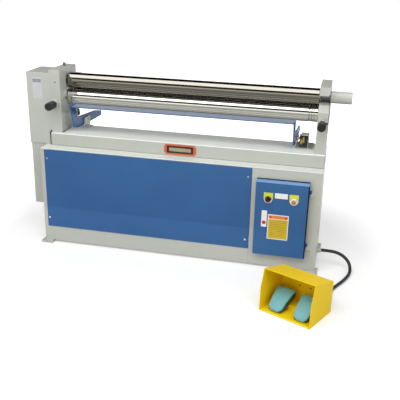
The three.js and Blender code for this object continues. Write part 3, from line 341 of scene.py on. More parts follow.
whiteCard = plainFinish("whiteCard", {**cardSettings, "colour": (0.82, 0.82, 0.84), "mottle": 0.02})
lilacCard = plainFinish("lilacCard", {**cardSettings, "colour": (0.56, 0.57, 0.57), "mottle": 0.04})
indigoPrint = plainFinish("indigoPrint", {**cardSettings, "colour": (0.3, 0.3, 0.36), "mottle": 0.1})
limeCard = plainFinish("limeCard", {**cardSettings, "colour": (0.62, 0.66, 0.05), "mottle": 0.04})
yellowCard = plainFinish("yellowCard", {**warmSettings, "colour": (0.62, 0.45, 0.03), "mottle": 0.06})
orangeCard = plainFinish("orangeCard", {**warmSettings, "colour": (0.72, 0.24, 0.05), "mottle": 0.05})
lineInk = plainFinish("lineInk", {
    **warmSettings, "colour": (0.3, 0.2, 0.03), "mottle": 0.1, "grainScale": 600.0,
})

# Bare metal: drawn or ground lines, with broad faint stains
metalGrain = {
    "lineScale": 1.0, "lineDetail": 4.0, "lineRoughness": 0.6, "lineStrength": 0.5,
    "stainScale": 9.0, "stainDetail": 3.0, "stain": 0.12, "stainFrom": 0.5, "stainTo": 0.75,
}


def metalFinish(name, s):
    g = metalGrain
    material, tree, shader = blankFinish(name, s["roughness"], 1.0)
    lines = objectNoise(tree, g["lineScale"], g["lineDetail"], s["stretch"], g["lineRoughness"])
    cloudy = objectNoise(tree, g["stainScale"], g["stainDetail"])
    stain = spread(tree, cloudy, 0.0, g["stain"], g["stainFrom"], g["stainTo"])
    tint = blendColours(tree, stain, mottled(tree, lines, s), s.get("stainColour", s["colour"]))
    tree.links.new(tint, shader.inputs["Base Color"])
    gloss = spread(tree, lines, s["roughness"] - s["glossSpread"], s["roughness"] + s["glossSpread"])
    tree.links.new(gloss, shader.inputs["Roughness"])
    addBump(tree, shader, lines, s["lineDepth"], g["lineStrength"])
    return material


# Grinding marks run round a roll, so the noise is fine along X only
rollSettings = {
    "colour": (0.74, 0.75, 0.71), "stainColour": (0.6, 0.58, 0.5), "roughness": 0.07, "glossSpread": 0.03,
    "mottle": 0.04, "stretch": (900.0, 9.0, 9.0), "lineDepth": 0.000006,
}
rollSteel = metalFinish("rollSteel", rollSettings)
# A darker copy of the roll steel for the top and rear rolls: painted shade that darkens their reflections
shadedRollSteel = metalFinish("shadedRollSteel", {
    **rollSettings, "colour": (0.27, 0.255, 0.225), "stainColour": (0.2, 0.18, 0.14),
})
groundSteel = metalFinish("groundSteel", {
    "colour": (0.45, 0.45, 0.44), "roughness": 0.28, "glossSpread": 0.08, "mottle": 0.08,
    "stretch": (60.0, 500.0, 500.0), "lineDepth": 0.00003,
})
darkSteel = metalFinish("darkSteel", {
    "colour": (0.2, 0.2, 0.21), "roughness": 0.25, "glossSpread": 0.07, "mottle": 0.12,
    "stretch": (500.0, 30.0, 30.0), "lineDepth": 0.00003,
})
chainSteel = metalFinish("chainSteel", {
    "colour": (0.16, 0.15, 0.14), "roughness": 0.4, "glossSpread": 0.1, "mottle": 0.15,
    "stretch": (200.0, 200.0, 200.0), "lineDepth": 0.0001,
})
zincSteel = metalFinish("zincSteel", {
    "colour": (0.78, 0.8, 0.84), "roughness": 0.3, "glossSpread": 0.06, "mottle": 0.06,
    "stretch": (300.0, 300.0, 300.0), "lineDepth": 0.00005,
})
gearIron = metalFinish("gearIron", {
    "colour": (0.2, 0.2, 0.2), "roughness": 0.45, "glossSpread": 0.1, "mottle": 0.15,
    "stretch": (150.0, 150.0, 150.0), "lineDepth": 0.0002,
})
leverBrass = metalFinish("leverBrass", {
    "colour": (0.55, 0.4, 0.15), "roughness": 0.32, "glossSpread": 0.08, "mottle": 0.1,
    "stretch": (300.0, 60.0, 300.0), "lineDepth": 0.00005,
})

# Lens of the pilot lamp: ribbed plastic that light enters a little
amber = {
    "colour": (0.5, 0.19, 0.025), "roughness": 0.12, "specular": 0.6, "coat": 0.6, "coatRoughness": 0.05,
    "under": 0.3, "underReach": (0.004, 0.002, 0.001), "darkShare": 0.9, "brightShare": 1.15,
    "ribScale": 220.0, "ribDetail": 2.0, "ribDepth": 0.0001, "ribStrength": 0.4,
}


def lensFinish(name, s):
    material, tree, shader = blankFinish(
        name, s["roughness"], specular=s["specular"], coat=s["coat"], coatRoughness=s["coatRoughness"],
    )
    shader.inputs["Subsurface Weight"].default_value = s["under"]
    shader.inputs["Subsurface Radius"].default_value = s["underReach"]
    ribs = objectNoise(tree, s["ribScale"], s["ribDetail"])
    dark, bright = shade(s["colour"], s["darkShare"]), shade(s["colour"], s["brightShare"])
    tint = blendColours(tree, spread(tree, ribs, 0.0, 1.0), dark, bright)
    tree.links.new(tint, shader.inputs["Base Color"])
    addBump(tree, shader, ribs, s["ribDepth"], s["ribStrength"])
    return material


amberLens = lensFinish("amberLens", amber)
print("materials made")

# Finishes of the CAD nodes, also of those that a piece below replaces
nodeFinishes = {
    greyPaint: [
        "leg_front_left", "leg_rear_left", "leg_front_right", "leg_rear_right", "bottom_channel",
        "left_end_panel", "right_end_panel", "rear_panel", "column_front", "stand_divider", "motor_shelf",
        "gear_cover_upper", "gear_cover_lower", "left_trip_bracket", "right_trip_bracket", "electrical_box",
    ],
    castPaint: [
        "release_sleeve", "bottom_block_left", "bottom_block_right",
        "rear_block_left", "rear_block_right", "swivel_block", "wedge_left", "wedge_right",
    ],
    bedPaint: ["bed"],
    litLedgePaint: ["stand_top"],
    headPaint: ["left_head", "right_standard"],
    barPaint: ["trip_front_bar"],
    bluePaint: ["front_panel", "door", "trip_left_arm", "trip_right_arm"],
    redEnamel: ["name_plate"],
    gearIron: ["bottom_gear", "drive_hub", "lower_chain_wheel"],
    motorPaint: ["gear_motor"],
    groundSteel: ["oil_cup"],
    chainSteel: ["drive_chain"],
    rollSteel: ["top_roll", "bottom_roll", "rear_roll"],
    blackPlastic: [
        "front_knob_left", "front_knob_right", "rear_knob_left", "rear_knob_right", "limit_switch",
        "contactor", "selector_knob",
    ],
    rubberBlack: ["foot_cable"],
    glandPlastic: ["stand_gland", "hood_gland"],
    leverBrass: ["switch_lever"],
    amberLens: ["pilot_lamp"],
    yellowPaint: ["pedal_guard", "pedal_pin", "pedal_switch"],
    tealPad: ["left_pedal", "right_pedal"],
}
slotOf = {row["node"]: row["material_slot"] for row in frame["record"]["subparts"]}
bodyOf = {
    node: body for body, members in frame["record"]["behaviour"]["bodies"].items() for node in members
}
for finish, names in nodeFinishes.items():
    for name in names:
        nodes[name].data.materials.clear()
        nodes[name].data.materials.append(finish)


# Edges above so many degrees stay sharp or are bevelled: on most pieces, and on those with six sides
sharpAngle, hexAngle = 35.0, 10.0


def newPiece(name, mesh, finish, body, replaced=()):
    mesh.materials.append(finish)
    piece = addObject(name, mesh)
    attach(piece, body)
    if replaced:
        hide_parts(*replaced)
    return piece


def smoothed(mesh, sharpAbove):
    mesh.shade_smooth()
    mesh.set_sharp_from_angle(angle=math.radians(sharpAbove))


def addBevel(piece, width, segments=3):
    bevel = piece.modifiers.new("edges", "BEVEL")
    bevel.width = width / 1000.0
    bevel.segments = segments
    bevel.limit_method = "ANGLE"
    bevel.angle_limit = math.radians(sharpAngle)
    bevel.harden_normals = True
    bevel.miter_outer = "MITER_ARC"


# A piece with the node's own shape and rounded edges. Points closer than merge (in metres) become one,
# faces that meet at less than flat (in degrees) are joined, and then the edges are bevelled.
cleaning = {"merge": 0.00002, "flat": 0.5}


def roundedNode(node, name, width, finish, segments=3):
    mesh = nodes[node].data.copy()
    mesh.materials.clear()
    work = bmesh.new()
    work.from_mesh(mesh)
    bmesh.ops.remove_doubles(work, verts=work.verts, dist=cleaning["merge"])
    bmesh.ops.dissolve_limit(
        work, angle_limit=math.radians(cleaning["flat"]), verts=work.verts, edges=work.edges,
    )
    work.to_mesh(mesh)
    work.free()
    smoothed(mesh, sharpAngle)
    piece = newPiece(name, mesh, finish, bodyOf[node], [node])
    addBevel(piece, width, segments)
    return piece


# Rings of points joined by four-sided faces. The ends are closed by one face each, or joined in a loop
def ringMesh(name, rings, loop=False, sharpAbove=sharpAngle):
    rings = np.asarray(rings, float)
    stations, around = rings.shape[:2]
    last = stations if loop else stations - 1
    i, j = np.meshgrid(np.arange(last), np.arange(around), indexing="ij")
    i, j = i.ravel(), j.ravel()
    nextI, nextJ = (i + 1) % stations, (j + 1) % around
    quads = np.stack([
        i * around + j, i * around + nextJ, nextI * around + nextJ, nextI * around + j,
    ], -1).tolist()
    if not loop:
        quads.append(list(range(around))[::-1])
        quads.append(list(range((stations - 1) * around, stations * around)))
    mesh = bpy.data.meshes.new(name)
    mesh.from_pydata(toRow(rings.reshape(-1, 3)).tolist(), [], quads)
    work = bmesh.new()
    work.from_mesh(mesh)
    bmesh.ops.recalc_face_normals(work, faces=work.faces)
    work.to_mesh(mesh)
    work.free()
    smoothed(mesh, sharpAbove)
    return mesh


# Corners of a profile cut back and rounded. Each corner is cut back by the radius, or by the most
# share of a shorter side, and becomes (1 - t)^2 * one cut + 2 t (1 - t) * corner + t^2 * other cut.
def softened(profile, radius, steps=4, mostShare=0.45):
    p = np.asarray(profile, float)
    before, after = p[:-2] - p[1:-1], p[2:] - p[1:-1]
    lengthBefore = np.linalg.norm(before, axis=1, keepdims=True)
    lengthAfter = np.linalg.norm(after, axis=1, keepdims=True)
    cutBefore = np.minimum(radius, mostShare * lengthBefore)
    cutAfter = np.minimum(radius, mostShare * lengthAfter)
    a = p[1:-1] + before / lengthBefore * cutBefore
    b = p[1:-1] + after / lengthAfter * cutAfter
    t = np.linspace(0.0, 1.0, steps)[None, :, None]
    curve = (1 - t) ** 2 * a[:, None] + 2 * t * (1 - t) * p[1:-1, None] + t ** 2 * b[:, None]
    return np.concatenate([p[:1], curve.reshape(-1, 2), p[-1:]])


# A profile of (along, radius) turned about an axis: point = start + along * axis + radius * (cos a, sin a).
# Flutes lower the radius by fluteShare * (the positive part of cos(flutes * a)) ^ fluteSharpness.
fluteSharpness = 1.5


def turnedRings(profile, start, axis, segments, flutes=0, fluteShare=0.0, fluteSpan=None):
    profile = np.asarray(profile, float)
    axis = unit(axis)
    side = unit(np.cross(axis, (0.0, 0.0, 1.0) if abs(axis[2]) < alike else (1.0, 0.0, 0.0)))
    other = np.cross(axis, side)
    turn = np.arange(segments) * 2 * math.pi / segments
    radius = np.repeat(profile[:, 1:], segments, 1)
    if flutes:
        inside = (profile[:, 0] > fluteSpan[0]) & (profile[:, 0] < fluteSpan[1])
        hollow = np.maximum(0.0, np.cos(flutes * turn)) ** fluteSharpness
        radius = radius * (1.0 - fluteShare * hollow[None, :] * inside[:, None])
    ring = np.cos(turn)[:, None] * side + np.sin(turn)[:, None] * other
    return np.asarray(start, float) + profile[:, :1, None] * axis + radius[:, :, None] * ring


def turnedPiece(
    name, profile, start, axis, finish, body, slotName, replaced=(), segments=64, loop=False, **flutes
):
    rings = turnedRings(profile, start, axis, segments, **flutes)
    return newPiece(name, ringMesh(name, rings, loop), finish, body, replaced)


# Turned profiles end on a tiny ring round the axis, with one of these radii
middleRing, fineRing = 0.5, 0.2


def discPiece(name, place, axis, radius, thick, finish, body, slotName, segments):
    profile = [(0.0, radius), (thick, radius), (thick, fineRing)]
    turnedPiece(name, profile, place, axis, finish, body, slotName, (), segments)


# An outline in two of the axes, carried from one end to the other along the third axis. Where carry is
# given, it bends the points or takes them to another place.
def platePiece(name, outline, axis, ends, finish, body, bevel=0.0, carry=None):
    outline = np.asarray(outline, float)
    rings = []
    for level in ends:
        flat = np.full(len(outline), float(level))
        columns = [outline[:, 0], outline[:, 1]]
        columns.insert("XYZ".index(axis), flat)
        rings.append(np.stack(columns, -1))
    rings = np.array(rings)
    mesh = ringMesh(name, carry(rings) if carry else rings)
    piece = newPiece(name, mesh, finish, body)
    if bevel:
        addBevel(piece, bevel, 2)


def boxOutline(x0, x1, z0, z1):
    return [(x0, z0), (x1, z0), (x1, z1), (x0, z1)]


# Rectangle with round corners: each corner is its own middle + radius * (cos a, sin a) over a quarter turn
def roundRectangle(a0, a1, b0, b1, radius, steps=5):
    quarter = np.linspace(0.0, math.pi / 2, steps)
    corners = [
        (a1 - radius, b1 - radius), (a0 + radius, b1 - radius),
        (a0 + radius, b0 + radius), (a1 - radius, b0 + radius),
    ]
    turns = [quarter + k * math.pi / 2 for k in range(len(corners))]
    return np.concatenate([
        np.column_stack([a + radius * np.cos(turn), b + radius * np.sin(turn)])
        for (a, b), turn in zip(corners, turns)
    ])


# Foot cable: straight out of the stand, down to the floor and round to the hood's back
cable = {
    "diameter": 16.0,
    "start": (1353.6, 20.0, 89.0),
    "points": [
        (1385, 20, 89), (1420, 21, 86), (1452, 22, 75), (1478, 21, 56), (1494, 15, 37), (1501, 1, 21),
        (1502, -22, 11.5), (1498, -50, 8.5), (1490, -80, 8.5), (1478, -113, 8.5), (1463, -147, 8.5),
        (1447, -179, 8.5), (1431, -212, 8.5), (1420, -246, 9), (1416, -281, 12), (1415, -313, 17),
        (1411.5, -343, 23), (1405.5, -364.5, 25),
    ],
    "endInFoot": (207.0, 211.6, 25.0),
    "stepsEach": 12,
    "roundSteps": 6,
}


# Smooth curve through the points: a cubic between each two, h1 * point + h2 * slope + h3 * next point +
# h4 * next slope, whose slopes come from the neighbours weighed by the square root of their distances
def smoothPath(points, stepsEach):
    p = np.asarray(points, float)
    p = np.concatenate([[2 * p[0] - p[1]], p, [2 * p[-1] - p[-2]]])
    gap = np.sqrt(np.linalg.norm(np.diff(p, axis=0), axis=1))[:, None]
    p0, p1, p2, p3 = p[:-3], p[1:-2], p[2:-1], p[3:]
    d0, d1, d2 = gap[:-2], gap[1:-1], gap[2:]
    m1 = ((p1 - p0) / d0 - (p2 - p0) / (d0 + d1) + (p2 - p1) / d1) * d1
    m2 = ((p2 - p1) / d1 - (p3 - p1) / (d1 + d2) + (p3 - p2) / d2) * d1
    t = (np.arange(stepsEach) / stepsEach)[None, :, None]
    h1, h2 = 2 * t ** 3 - 3 * t ** 2 + 1, t ** 3 - 2 * t ** 2 + t
    h3, h4 = -2 * t ** 3 + 3 * t ** 2, t ** 3 - t ** 2
    run = h1 * p1[:, None] + h2 * m1[:, None] + h3 * p2[:, None] + h4 * m2[:, None]
    return np.concatenate([run.reshape(-1, 3), p[-2:-1]])


def makeCable(s):
    route = [s["start"], *s["points"], fromFoot(s["endInFoot"])]
    path = toRow(smoothPath(route, s["stepsEach"]))
    curve = bpy.data.curves.new("footCable", "CURVE")
    curve.dimensions = "3D"
    curve.bevel_depth = s["diameter"] / 2.0 / 1000.0
    curve.bevel_resolution = s["roundSteps"]
    curve.use_fill_caps = True
    line = curve.splines.new("POLY")
    line.points.add(len(path) - 1)
    line.points.foreach_set("co", np.column_stack([path, np.ones(len(path))]).ravel())
    curve.materials.append(rubberBlack)
    piece = addObject("footCable", curve)
    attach(piece, "frame")
    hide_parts("foot_cable")


makeCable(cable)

# Rolls: the ground surface with small chamfers, wire grooves on the lower two, centre holes in the ends.
# The top roll's left end is a wide stub with a socket, and its right end a long slim journal.
rolls = {
    "radius": 38.0, "segments": 128,
    "pinchY": 125.0, "topZ": 836.3, "bottomZ": 750.3, "rearY": 215.0, "rearZ": 762.3,
    "left": 3.0, "right": 1277.0, "edge": 2.0, "topLeft": 8.0, "topRight": 1420.0,
    "grooves": [(1235.0, 4.0), (1247.0, 3.2), (1259.0, 2.5)],
    "journal": 20.0, "rearJournal": 17.0, "journalLeft": -60.0, "rearLeft": -58.0, "journalRight": 1327.0,
    "stub": 22.0, "stubLeft": -51.5, "socket": 15.3, "socketEnd": -8.5, "socketPoint": 1.0,
    "slim": 16.0, "slimEdge": 1.5, "gearLeft": -103.0,
    "centre": 3.5, "centreDepth": 6.0, "centrePoint": 0.3,
}


# A groove of half width and depth d is the three points (x - d, r), (x, r - d), (x + d, r)
def groovedBody(s):
    r, edge = s["radius"], s["edge"]
    dips = [(x + side * d, r - (d if side == 0 else 0.0)) for x, d in s["grooves"] for side in (-1, 0, 1)]
    return [
        (s["left"], r - edge), (s["left"] + edge, r), *dips, (s["right"] - edge, r), (s["right"], r - edge),
    ]


def centreHole(s, at, inward):
    return [(at + inward * s["centreDepth"], s["centrePoint"]), (at, s["centre"])]


def makeRolls(s):
    r, edge, slim, slimEdge = s["radius"], s["edge"], s["slim"], s["slimEdge"]
    top = [
        (s["socketEnd"], s["socketPoint"]), (s["socketEnd"], s["socket"]), (s["stubLeft"], s["socket"]),
        (s["stubLeft"], s["stub"]), (s["topLeft"], s["stub"]), (s["topLeft"], r - edge),
        (s["topLeft"] + edge, r), (s["right"] - edge, r), (s["right"], r - edge), (s["right"], slim),
        (s["topRight"] - slimEdge, slim), (s["topRight"], slim - slimEdge),
        *centreHole(s, s["topRight"], -1)[::-1],
    ]
    bottom = [
        *centreHole(s, s["gearLeft"], 1), (s["gearLeft"], slim - slimEdge), (s["gearLeft"] + slimEdge, slim),
        (s["journalLeft"], slim), (s["journalLeft"], s["journal"]), (s["left"], s["journal"]),
        *groovedBody(s), (s["right"], s["journal"]), (s["journalRight"], s["journal"]),
        *centreHole(s, s["journalRight"], -1)[::-1],
    ]
    rear = [
        *centreHole(s, s["rearLeft"], 1), (s["rearLeft"], s["rearJournal"]), (s["left"], s["rearJournal"]),
        *groovedBody(s), (s["right"], s["rearJournal"]), (s["journalRight"], s["rearJournal"]),
        *centreHole(s, s["journalRight"], -1)[::-1],
    ]
    for name, body, profile, y, z, finish in (
        ("topRoll", "top_roll", top, s["pinchY"], s["topZ"], shadedRollSteel),
        ("bottomRoll", "bottom_roll", bottom, s["pinchY"], s["bottomZ"], rollSteel),
        ("rearRoll", "rear_roll", rear, s["rearY"], s["rearZ"], shadedRollSteel),
    ):
        turnedPiece(
            name, profile, (0, y, z), (1, 0, 0), finish, body, "roll_steel", [body], s["segments"],
        )


makeRolls(rolls)
print("rolls made")

# Release sleeve: a painted barrel with a dished end, and a bare grooved spigot that fills the throat
sleeve = {
    "axis": (0, 125.0, 836.3), "left": 1329.3, "right": 1428.3, "radius": 28.5, "bore": 16.3, "boreEnd": 4.0,
    "soft": 3.0, "softSteps": 5, "dishRim": 12.0, "dish": 11.0, "dishDepth": 2.0, "middle": 1.0,
    "spigotLeft": 1284.0, "spigot": 24.7, "spigotEdge": 1.5, "boreGap": 0.3, "spigotGap": 0.05,
    "grooves": (1296.0, 1308.0, 1320.0), "grooveHalf": 1.2, "segments": 80,
}


def makeSleeve(s):
    left, right, bore = s["left"], s["right"], s["bore"]
    inner = [(right - s["boreEnd"], s["middle"]), (right - s["boreEnd"], bore)]
    barrel = softened([
        (left, bore), (left, s["radius"]), (right, s["radius"]), (right, s["dishRim"]),
        (right - s["dishDepth"], s["dish"]), (right - s["dishDepth"], s["middle"]),
    ], s["soft"], s["softSteps"])
    turnedPiece("sleeveBarrel", [*inner, *barrel], s["axis"], (1, 0, 0), castPaint, "release_sleeve",
                "sleeve_paint", ["release_sleeve"], s["segments"])
    r, edge, half = s["spigot"], s["spigotEdge"], s["grooveHalf"]
    inside, end = bore + s["boreGap"], left - s["spigotGap"]
    spigot = [(s["spigotLeft"], inside), (s["spigotLeft"], r - edge), (s["spigotLeft"] + edge, r)]
    for x in s["grooves"]:
        spigot += [(x - half, r), (x, r - half), (x + half, r)]
    spigot += [(end, r), (end, inside)]
    turnedPiece("sleeveSpigot", spigot, s["axis"], (1, 0, 0), darkSteel, "release_sleeve", "ground_steel",
                (), s["segments"], loop=True)


makeSleeve(sleeve)

# Front knobs: fluted black heads with a recessed cap and a short lever, in front of a boss of the casting
frontKnob = {
    "xs": (-29.5, 1304.0), "z": 732.3, "front": -73.0, "back": -10.0, "radius": 20.0, "neck": 12.0,
    "neckEnd": 12.7, "cap": 12.5, "capDepth": 1.6, "rim": 1.0, "rimDepth": 3.0, "shoulder": 4.0,
    "soft": 1.2, "segments": 96, "flutes": 8, "fluteShare": 0.11, "fluteEnds": 1.5,
    "collarBore": 12.4, "collarRadius": 20.5, "collarEdge": 1.0, "collarFront": -4.0, "collarBack": 12.6,
    "leverFront": -38.0, "leverBack": -24.0, "leverTo": 27.0, "leverHalf": 5.0, "tipShare": 0.6,
    "leverNose": 2.0, "leverEdge": 1.5, "leverTurn": math.radians(29.0),
}


def makeFrontKnobs(s):
    front, back, radius, cap = s["front"], s["back"], s["radius"], s["cap"]
    profile = softened([
        (front + s["capDepth"], middleRing), (front + s["capDepth"], cap), (front, cap),
        (front, radius - s["rim"]), (front + s["rimDepth"], radius), (back - s["shoulder"], radius),
        (back, radius - s["shoulder"]), (back, s["neck"]), (s["neckEnd"], s["neck"]),
        (s["neckEnd"], middleRing),
    ], s["soft"])
    collar = [
        (s["collarFront"], s["collarBore"]), (s["collarFront"], s["collarRadius"] - s["collarEdge"]),
        (s["collarFront"] + s["collarEdge"], s["collarRadius"]), (s["collarBack"], s["collarRadius"]),
        (s["collarBack"], s["collarBore"]),
    ]
    along = np.array([math.cos(s["leverTurn"]), math.sin(s["leverTurn"])])
    across = np.array([-along[1], along[0]]) * s["leverHalf"]
    start, end, tip = radius - s["shoulder"], s["leverTo"], across * s["tipShare"]
    lever = np.array([
        along * start - across, along * end - tip, along * (end + s["leverNose"]), along * end + tip,
        along * start + across,
    ])
    for x, side in zip(s["xs"], ("left", "right")):
        body, place = "front_knob_" + side, (x, 0.0, s["z"])
        turnedPiece(
            side + "FrontKnob", profile, place, (0, 1, 0), blackPlastic, body, "black_knob", [body],
            s["segments"], flutes=s["flutes"], fluteShare=s["fluteShare"],
            fluteSpan=(front + s["fluteEnds"], back - s["fluteEnds"]),
        )
        turnedPiece(side + "ScrewBoss", collar, place, (0, 1, 0), castPaint, "frame", "machine_paint",
                    loop=True)
        platePiece(side + "KnobLever", lever + (x, s["z"]), "Y", (s["leverFront"], s["leverBack"]),
                   blackPlastic, body, s["leverEdge"])


makeFrontKnobs(frontKnob)

# Rear knobs on the slanted jack screws, whose threads are ridges of two radii in turn
rearKnob = {
    "xs": (-29.5, 1304.0), "y": 215.0, "z": 762.3, "lean": math.radians(22.3), "radius": 20.0,
    "drop": 125.0, "height": 30.0, "foot": 2.0, "shoulder": 3.0, "neck": 11.0, "neckHeight": 5.0,
    "soft": 1.5, "segments": 64, "flutes": 8, "fluteShare": 0.11, "fluteEnds": 1.0,
    "screw": 7.0, "screwTop": -26.3, "threads": (-118.0, -84.0), "threadStep": 2.0, "threadDepth": 0.9,
}


def makeRearKnobs(s):
    axis = (0.0, -math.sin(s["lean"]), math.cos(s["lean"]))
    radius, screw, low, high = s["radius"], s["screw"], -s["drop"] - s["height"], -s["drop"]
    neckTop = high + s["neckHeight"]
    head = softened([
        (low, middleRing), (low, radius - s["foot"]), (low + s["foot"], radius),
        (high - s["shoulder"], radius), (high, radius - s["shoulder"]), (high, s["neck"]),
        (neckTop, s["neck"]),
    ], s["soft"])
    threads = np.arange(*s["threads"], s["threadStep"])
    ridge = np.where(np.arange(len(threads)) % 2, screw - s["threadDepth"], screw)
    profile = np.concatenate([
        head, [(neckTop, screw)], np.column_stack([threads, ridge]),
        [(s["screwTop"], screw), (s["screwTop"], middleRing)],
    ])
    for x, side in zip(s["xs"], ("left", "right")):
        body = "rear_knob_" + side
        turnedPiece(
            side + "RearKnob", profile, (x, s["y"], s["z"]), axis, blackPlastic, body, "black_knob", [body],
            s["segments"], flutes=s["flutes"], fluteShare=s["fluteShare"],
            fluteSpan=(low + s["fluteEnds"], high - s["fluteEnds"]),
        )


makeRearKnobs(rearKnob)
print("knobs made")

# Cast and sheet bodies with rounded edges: (node, piece, edge in millimetres, finish, steps of the edge)
roundedBodies = [
    ("bed", "bedBeam", 5.0, bedPaint, 4),
    ("left_head", "leftHead", 3.5, headPaint, 4),
    ("right_standard", "rightStandard", 3.0, headPaint, 4),
    ("gear_cover_upper", "upperDriveCover", 1.5, greyPaint, 3),
    ("gear_cover_lower", "lowerDriveCover", 1.5, greyPaint, 3),
    ("stand_top", "standTop", 2.5, litLedgePaint, 3),
    ("front_panel", "frontPanel", 0.8, bluePaint, 3),
    ("door", "cabinetDoor", 1.4, bluePaint, 3),
    ("column_front", "columnFront", 1.0, greyPaint, 3),
    ("bottom_channel", "bottomChannel", 1.3, greyPaint, 3),
    ("leg_front_left", "leg.front.left", 1.5, greyPaint, 3),
    ("leg_rear_left", "leg.rear.left", 1.5, greyPaint, 3),
    ("leg_front_right", "leg.front.right", 1.5, greyPaint, 3),
    ("leg_rear_right", "leg.rear.right", 1.5, greyPaint, 3),
    ("trip_front_bar", "tripFrontBar", 1.2, barPaint, 3),
    ("trip_left_arm", "tripLeftArm", 1.2, bluePaint, 3),
    ("trip_right_arm", "tripRightArm", 1.2, bluePaint, 3),
    ("left_trip_bracket", "leftTripBracket", 0.8, greyPaint, 3),
    ("right_trip_bracket", "rightTripBracket", 0.8, greyPaint, 3),
    ("name_plate", "namePlate", 0.4, redEnamel, 3),
    ("limit_switch", "limitSwitch", 1.5, blackPlastic, 3),
    ("switch_lever", "switchLever", 0.6, leverBrass, 3),
    ("pedal_guard", "pedalHood", 1.3, yellowPaint, 3),
]
# The rolls don't mirror the safety bar in the photograph, so reflections leave it out
unmirrored = ("trip_front_bar", "trip_left_arm", "trip_right_arm")
for node, name, width, finish, steps in roundedBodies:
    piece = roundedNode(node, name, width, finish, steps)
    piece.visible_glossy = node not in unmirrored
print("rounded bodies made")

# Two small brass plates on the limit switch
switchPlates = {
    "ends": (91.9, 91.0), "corner": 1.5, "edge": 0.2,
    "boxes": [(1204.0, 1213.0, 604.0, 628.0), (1214.5, 1223.0, 612.0, 640.0)],
}
for count, box in enumerate(switchPlates["boxes"]):
    platePiece(f"switchPlate.{count}", roundRectangle(*box, switchPlates["corner"]), "Y",
               switchPlates["ends"], leverBrass, "frame", switchPlates["edge"])

# Screws: a low dome with a round recess, in shares of (height, radius), down to a point of the recess
screwHead = {
    "shares": [(0.0, 1.0), (0.45, 1.0), (0.85, 0.72), (1.0, 0.38), (1.0, 0.3), (0.45, 0.26)],
    "recessShare": 0.4, "recessPoint": 0.1, "segments": 28,
}


def makeScrew(name, place, axis, s, finish):
    profile = [(s["height"] * up, s["radius"] * out) for up, out in screwHead["shares"]]
    profile.append((s["height"] * screwHead["recessShare"], screwHead["recessPoint"]))
    turnedPiece(name, profile, place, axis, finish, "frame", "ground_steel", (), screwHead["segments"])


panelScrews = {
    "places": [(-55, 465), (-59, 142), (981, 465), (980, 139)], "y": -67.8, "radius": 4.6, "height": 2.2,
}
for count, (x, z) in enumerate(panelScrews["places"]):
    makeScrew(f"panelScrew.{count}", (x, panelScrews["y"], z), (0, -1, 0), panelScrews, zincSteel)
headScrew = {"place": (-26.0, 13.0, 840.0), "radius": 3.6, "height": 1.6}
makeScrew("headScrew.0", headScrew["place"], (0, -1, 0), headScrew, darkSteel)

# Hexagon bolts on the brackets' feet, in shares of (height, radius), each on a washer
bracketBolts = {
    "places": [(76, 175), (76, 192), (1194, 172), (1194, 192), (1216, 150), (1245, 100), (1245, 126)],
    "z": 585.6, "across": 8.0, "height": 4.0, "shares": [(0.0, 0.98), (0.8, 1.0), (1.0, 0.86)],
    "washerShare": 1.25, "washer": 1.0, "washerSegments": 32,
}


def makeBolts(s):
    radius = s["across"] / math.sqrt(3.0)
    profile = [(s["height"] * up, radius * out) for up, out in s["shares"]] + [(s["height"], fineRing)]
    for count, (x, y) in enumerate(s["places"]):
        name, place = f"bracketBolt.{count}", (x, y, s["z"])
        piece = turnedPiece(name, profile, place, (0, 0, 1), zincSteel, "frame", "ground_steel", (), 6)
        smoothed(piece.data, hexAngle)
        discPiece(name + ".washer", place, (0, 0, 1), radius * s["washerShare"], s["washer"], zincSteel,
                  "frame", "ground_steel", s["washerSegments"])


makeBolts(bracketBolts)

# Oiler on the left head: a foot, a stem and a cup, and a ball lid as (sine, cosine) of a quarter turn
oiler = {
    "place": (-31.0, 145.0, 901.9), "foot": 8.0, "footTop": 2.5, "stem": 4.5, "stemTop": 6.0,
    "cup": 7.5, "cupFrom": 7.5, "cupTop": 13.0, "top": 13.6, "lid": 5.8, "lidSeat": 13.7, "lidGap": 0.4,
    "lidPoint": 0.05, "lidSteps": 7, "soft": 0.6, "segments": 40, "lidSegments": 32,
}


def makeOiler(s):
    body = softened([
        (0.0, middleRing), (0.0, s["foot"]), (s["footTop"], s["foot"]), (s["footTop"], s["stem"]),
        (s["stemTop"], s["stem"]), (s["cupFrom"], s["cup"]), (s["cupTop"], s["cup"]),
        (s["top"], s["lid"] + s["lidGap"]), (s["top"], middleRing),
    ], s["soft"])
    turnedPiece("oilerBody", body, s["place"], (0, 0, 1), darkSteel, "frame", "ground_steel", ["oil_cup"],
                s["segments"])
    bend = np.linspace(0.0, math.pi / 2, s["lidSteps"])
    lid = np.column_stack([s["lidSeat"] + s["lid"] * np.sin(bend), s["lid"] * np.cos(bend) + s["lidPoint"]])
    turnedPiece("oilerLid", lid, s["place"], (0, 0, 1), darkSteel, "frame", "ground_steel", (),
                s["lidSegments"])


makeOiler(oiler)

# Plug on the right standard, above its knob, with a round recess
plug = {
    "place": (1316.0, 13.0, 760.0), "segments": 40,
    "profile": [(0.0, 9.0), (2.2, 9.0), (3.0, 8.2), (3.0, 3.4), (1.0, 3.2), (1.0, fineRing)],
}
turnedPiece("standardPlug", plug["profile"], plug["place"], (0, -1, 0), castPaint, "frame", "machine_paint",
            (), plug["segments"])
print("fittings made")

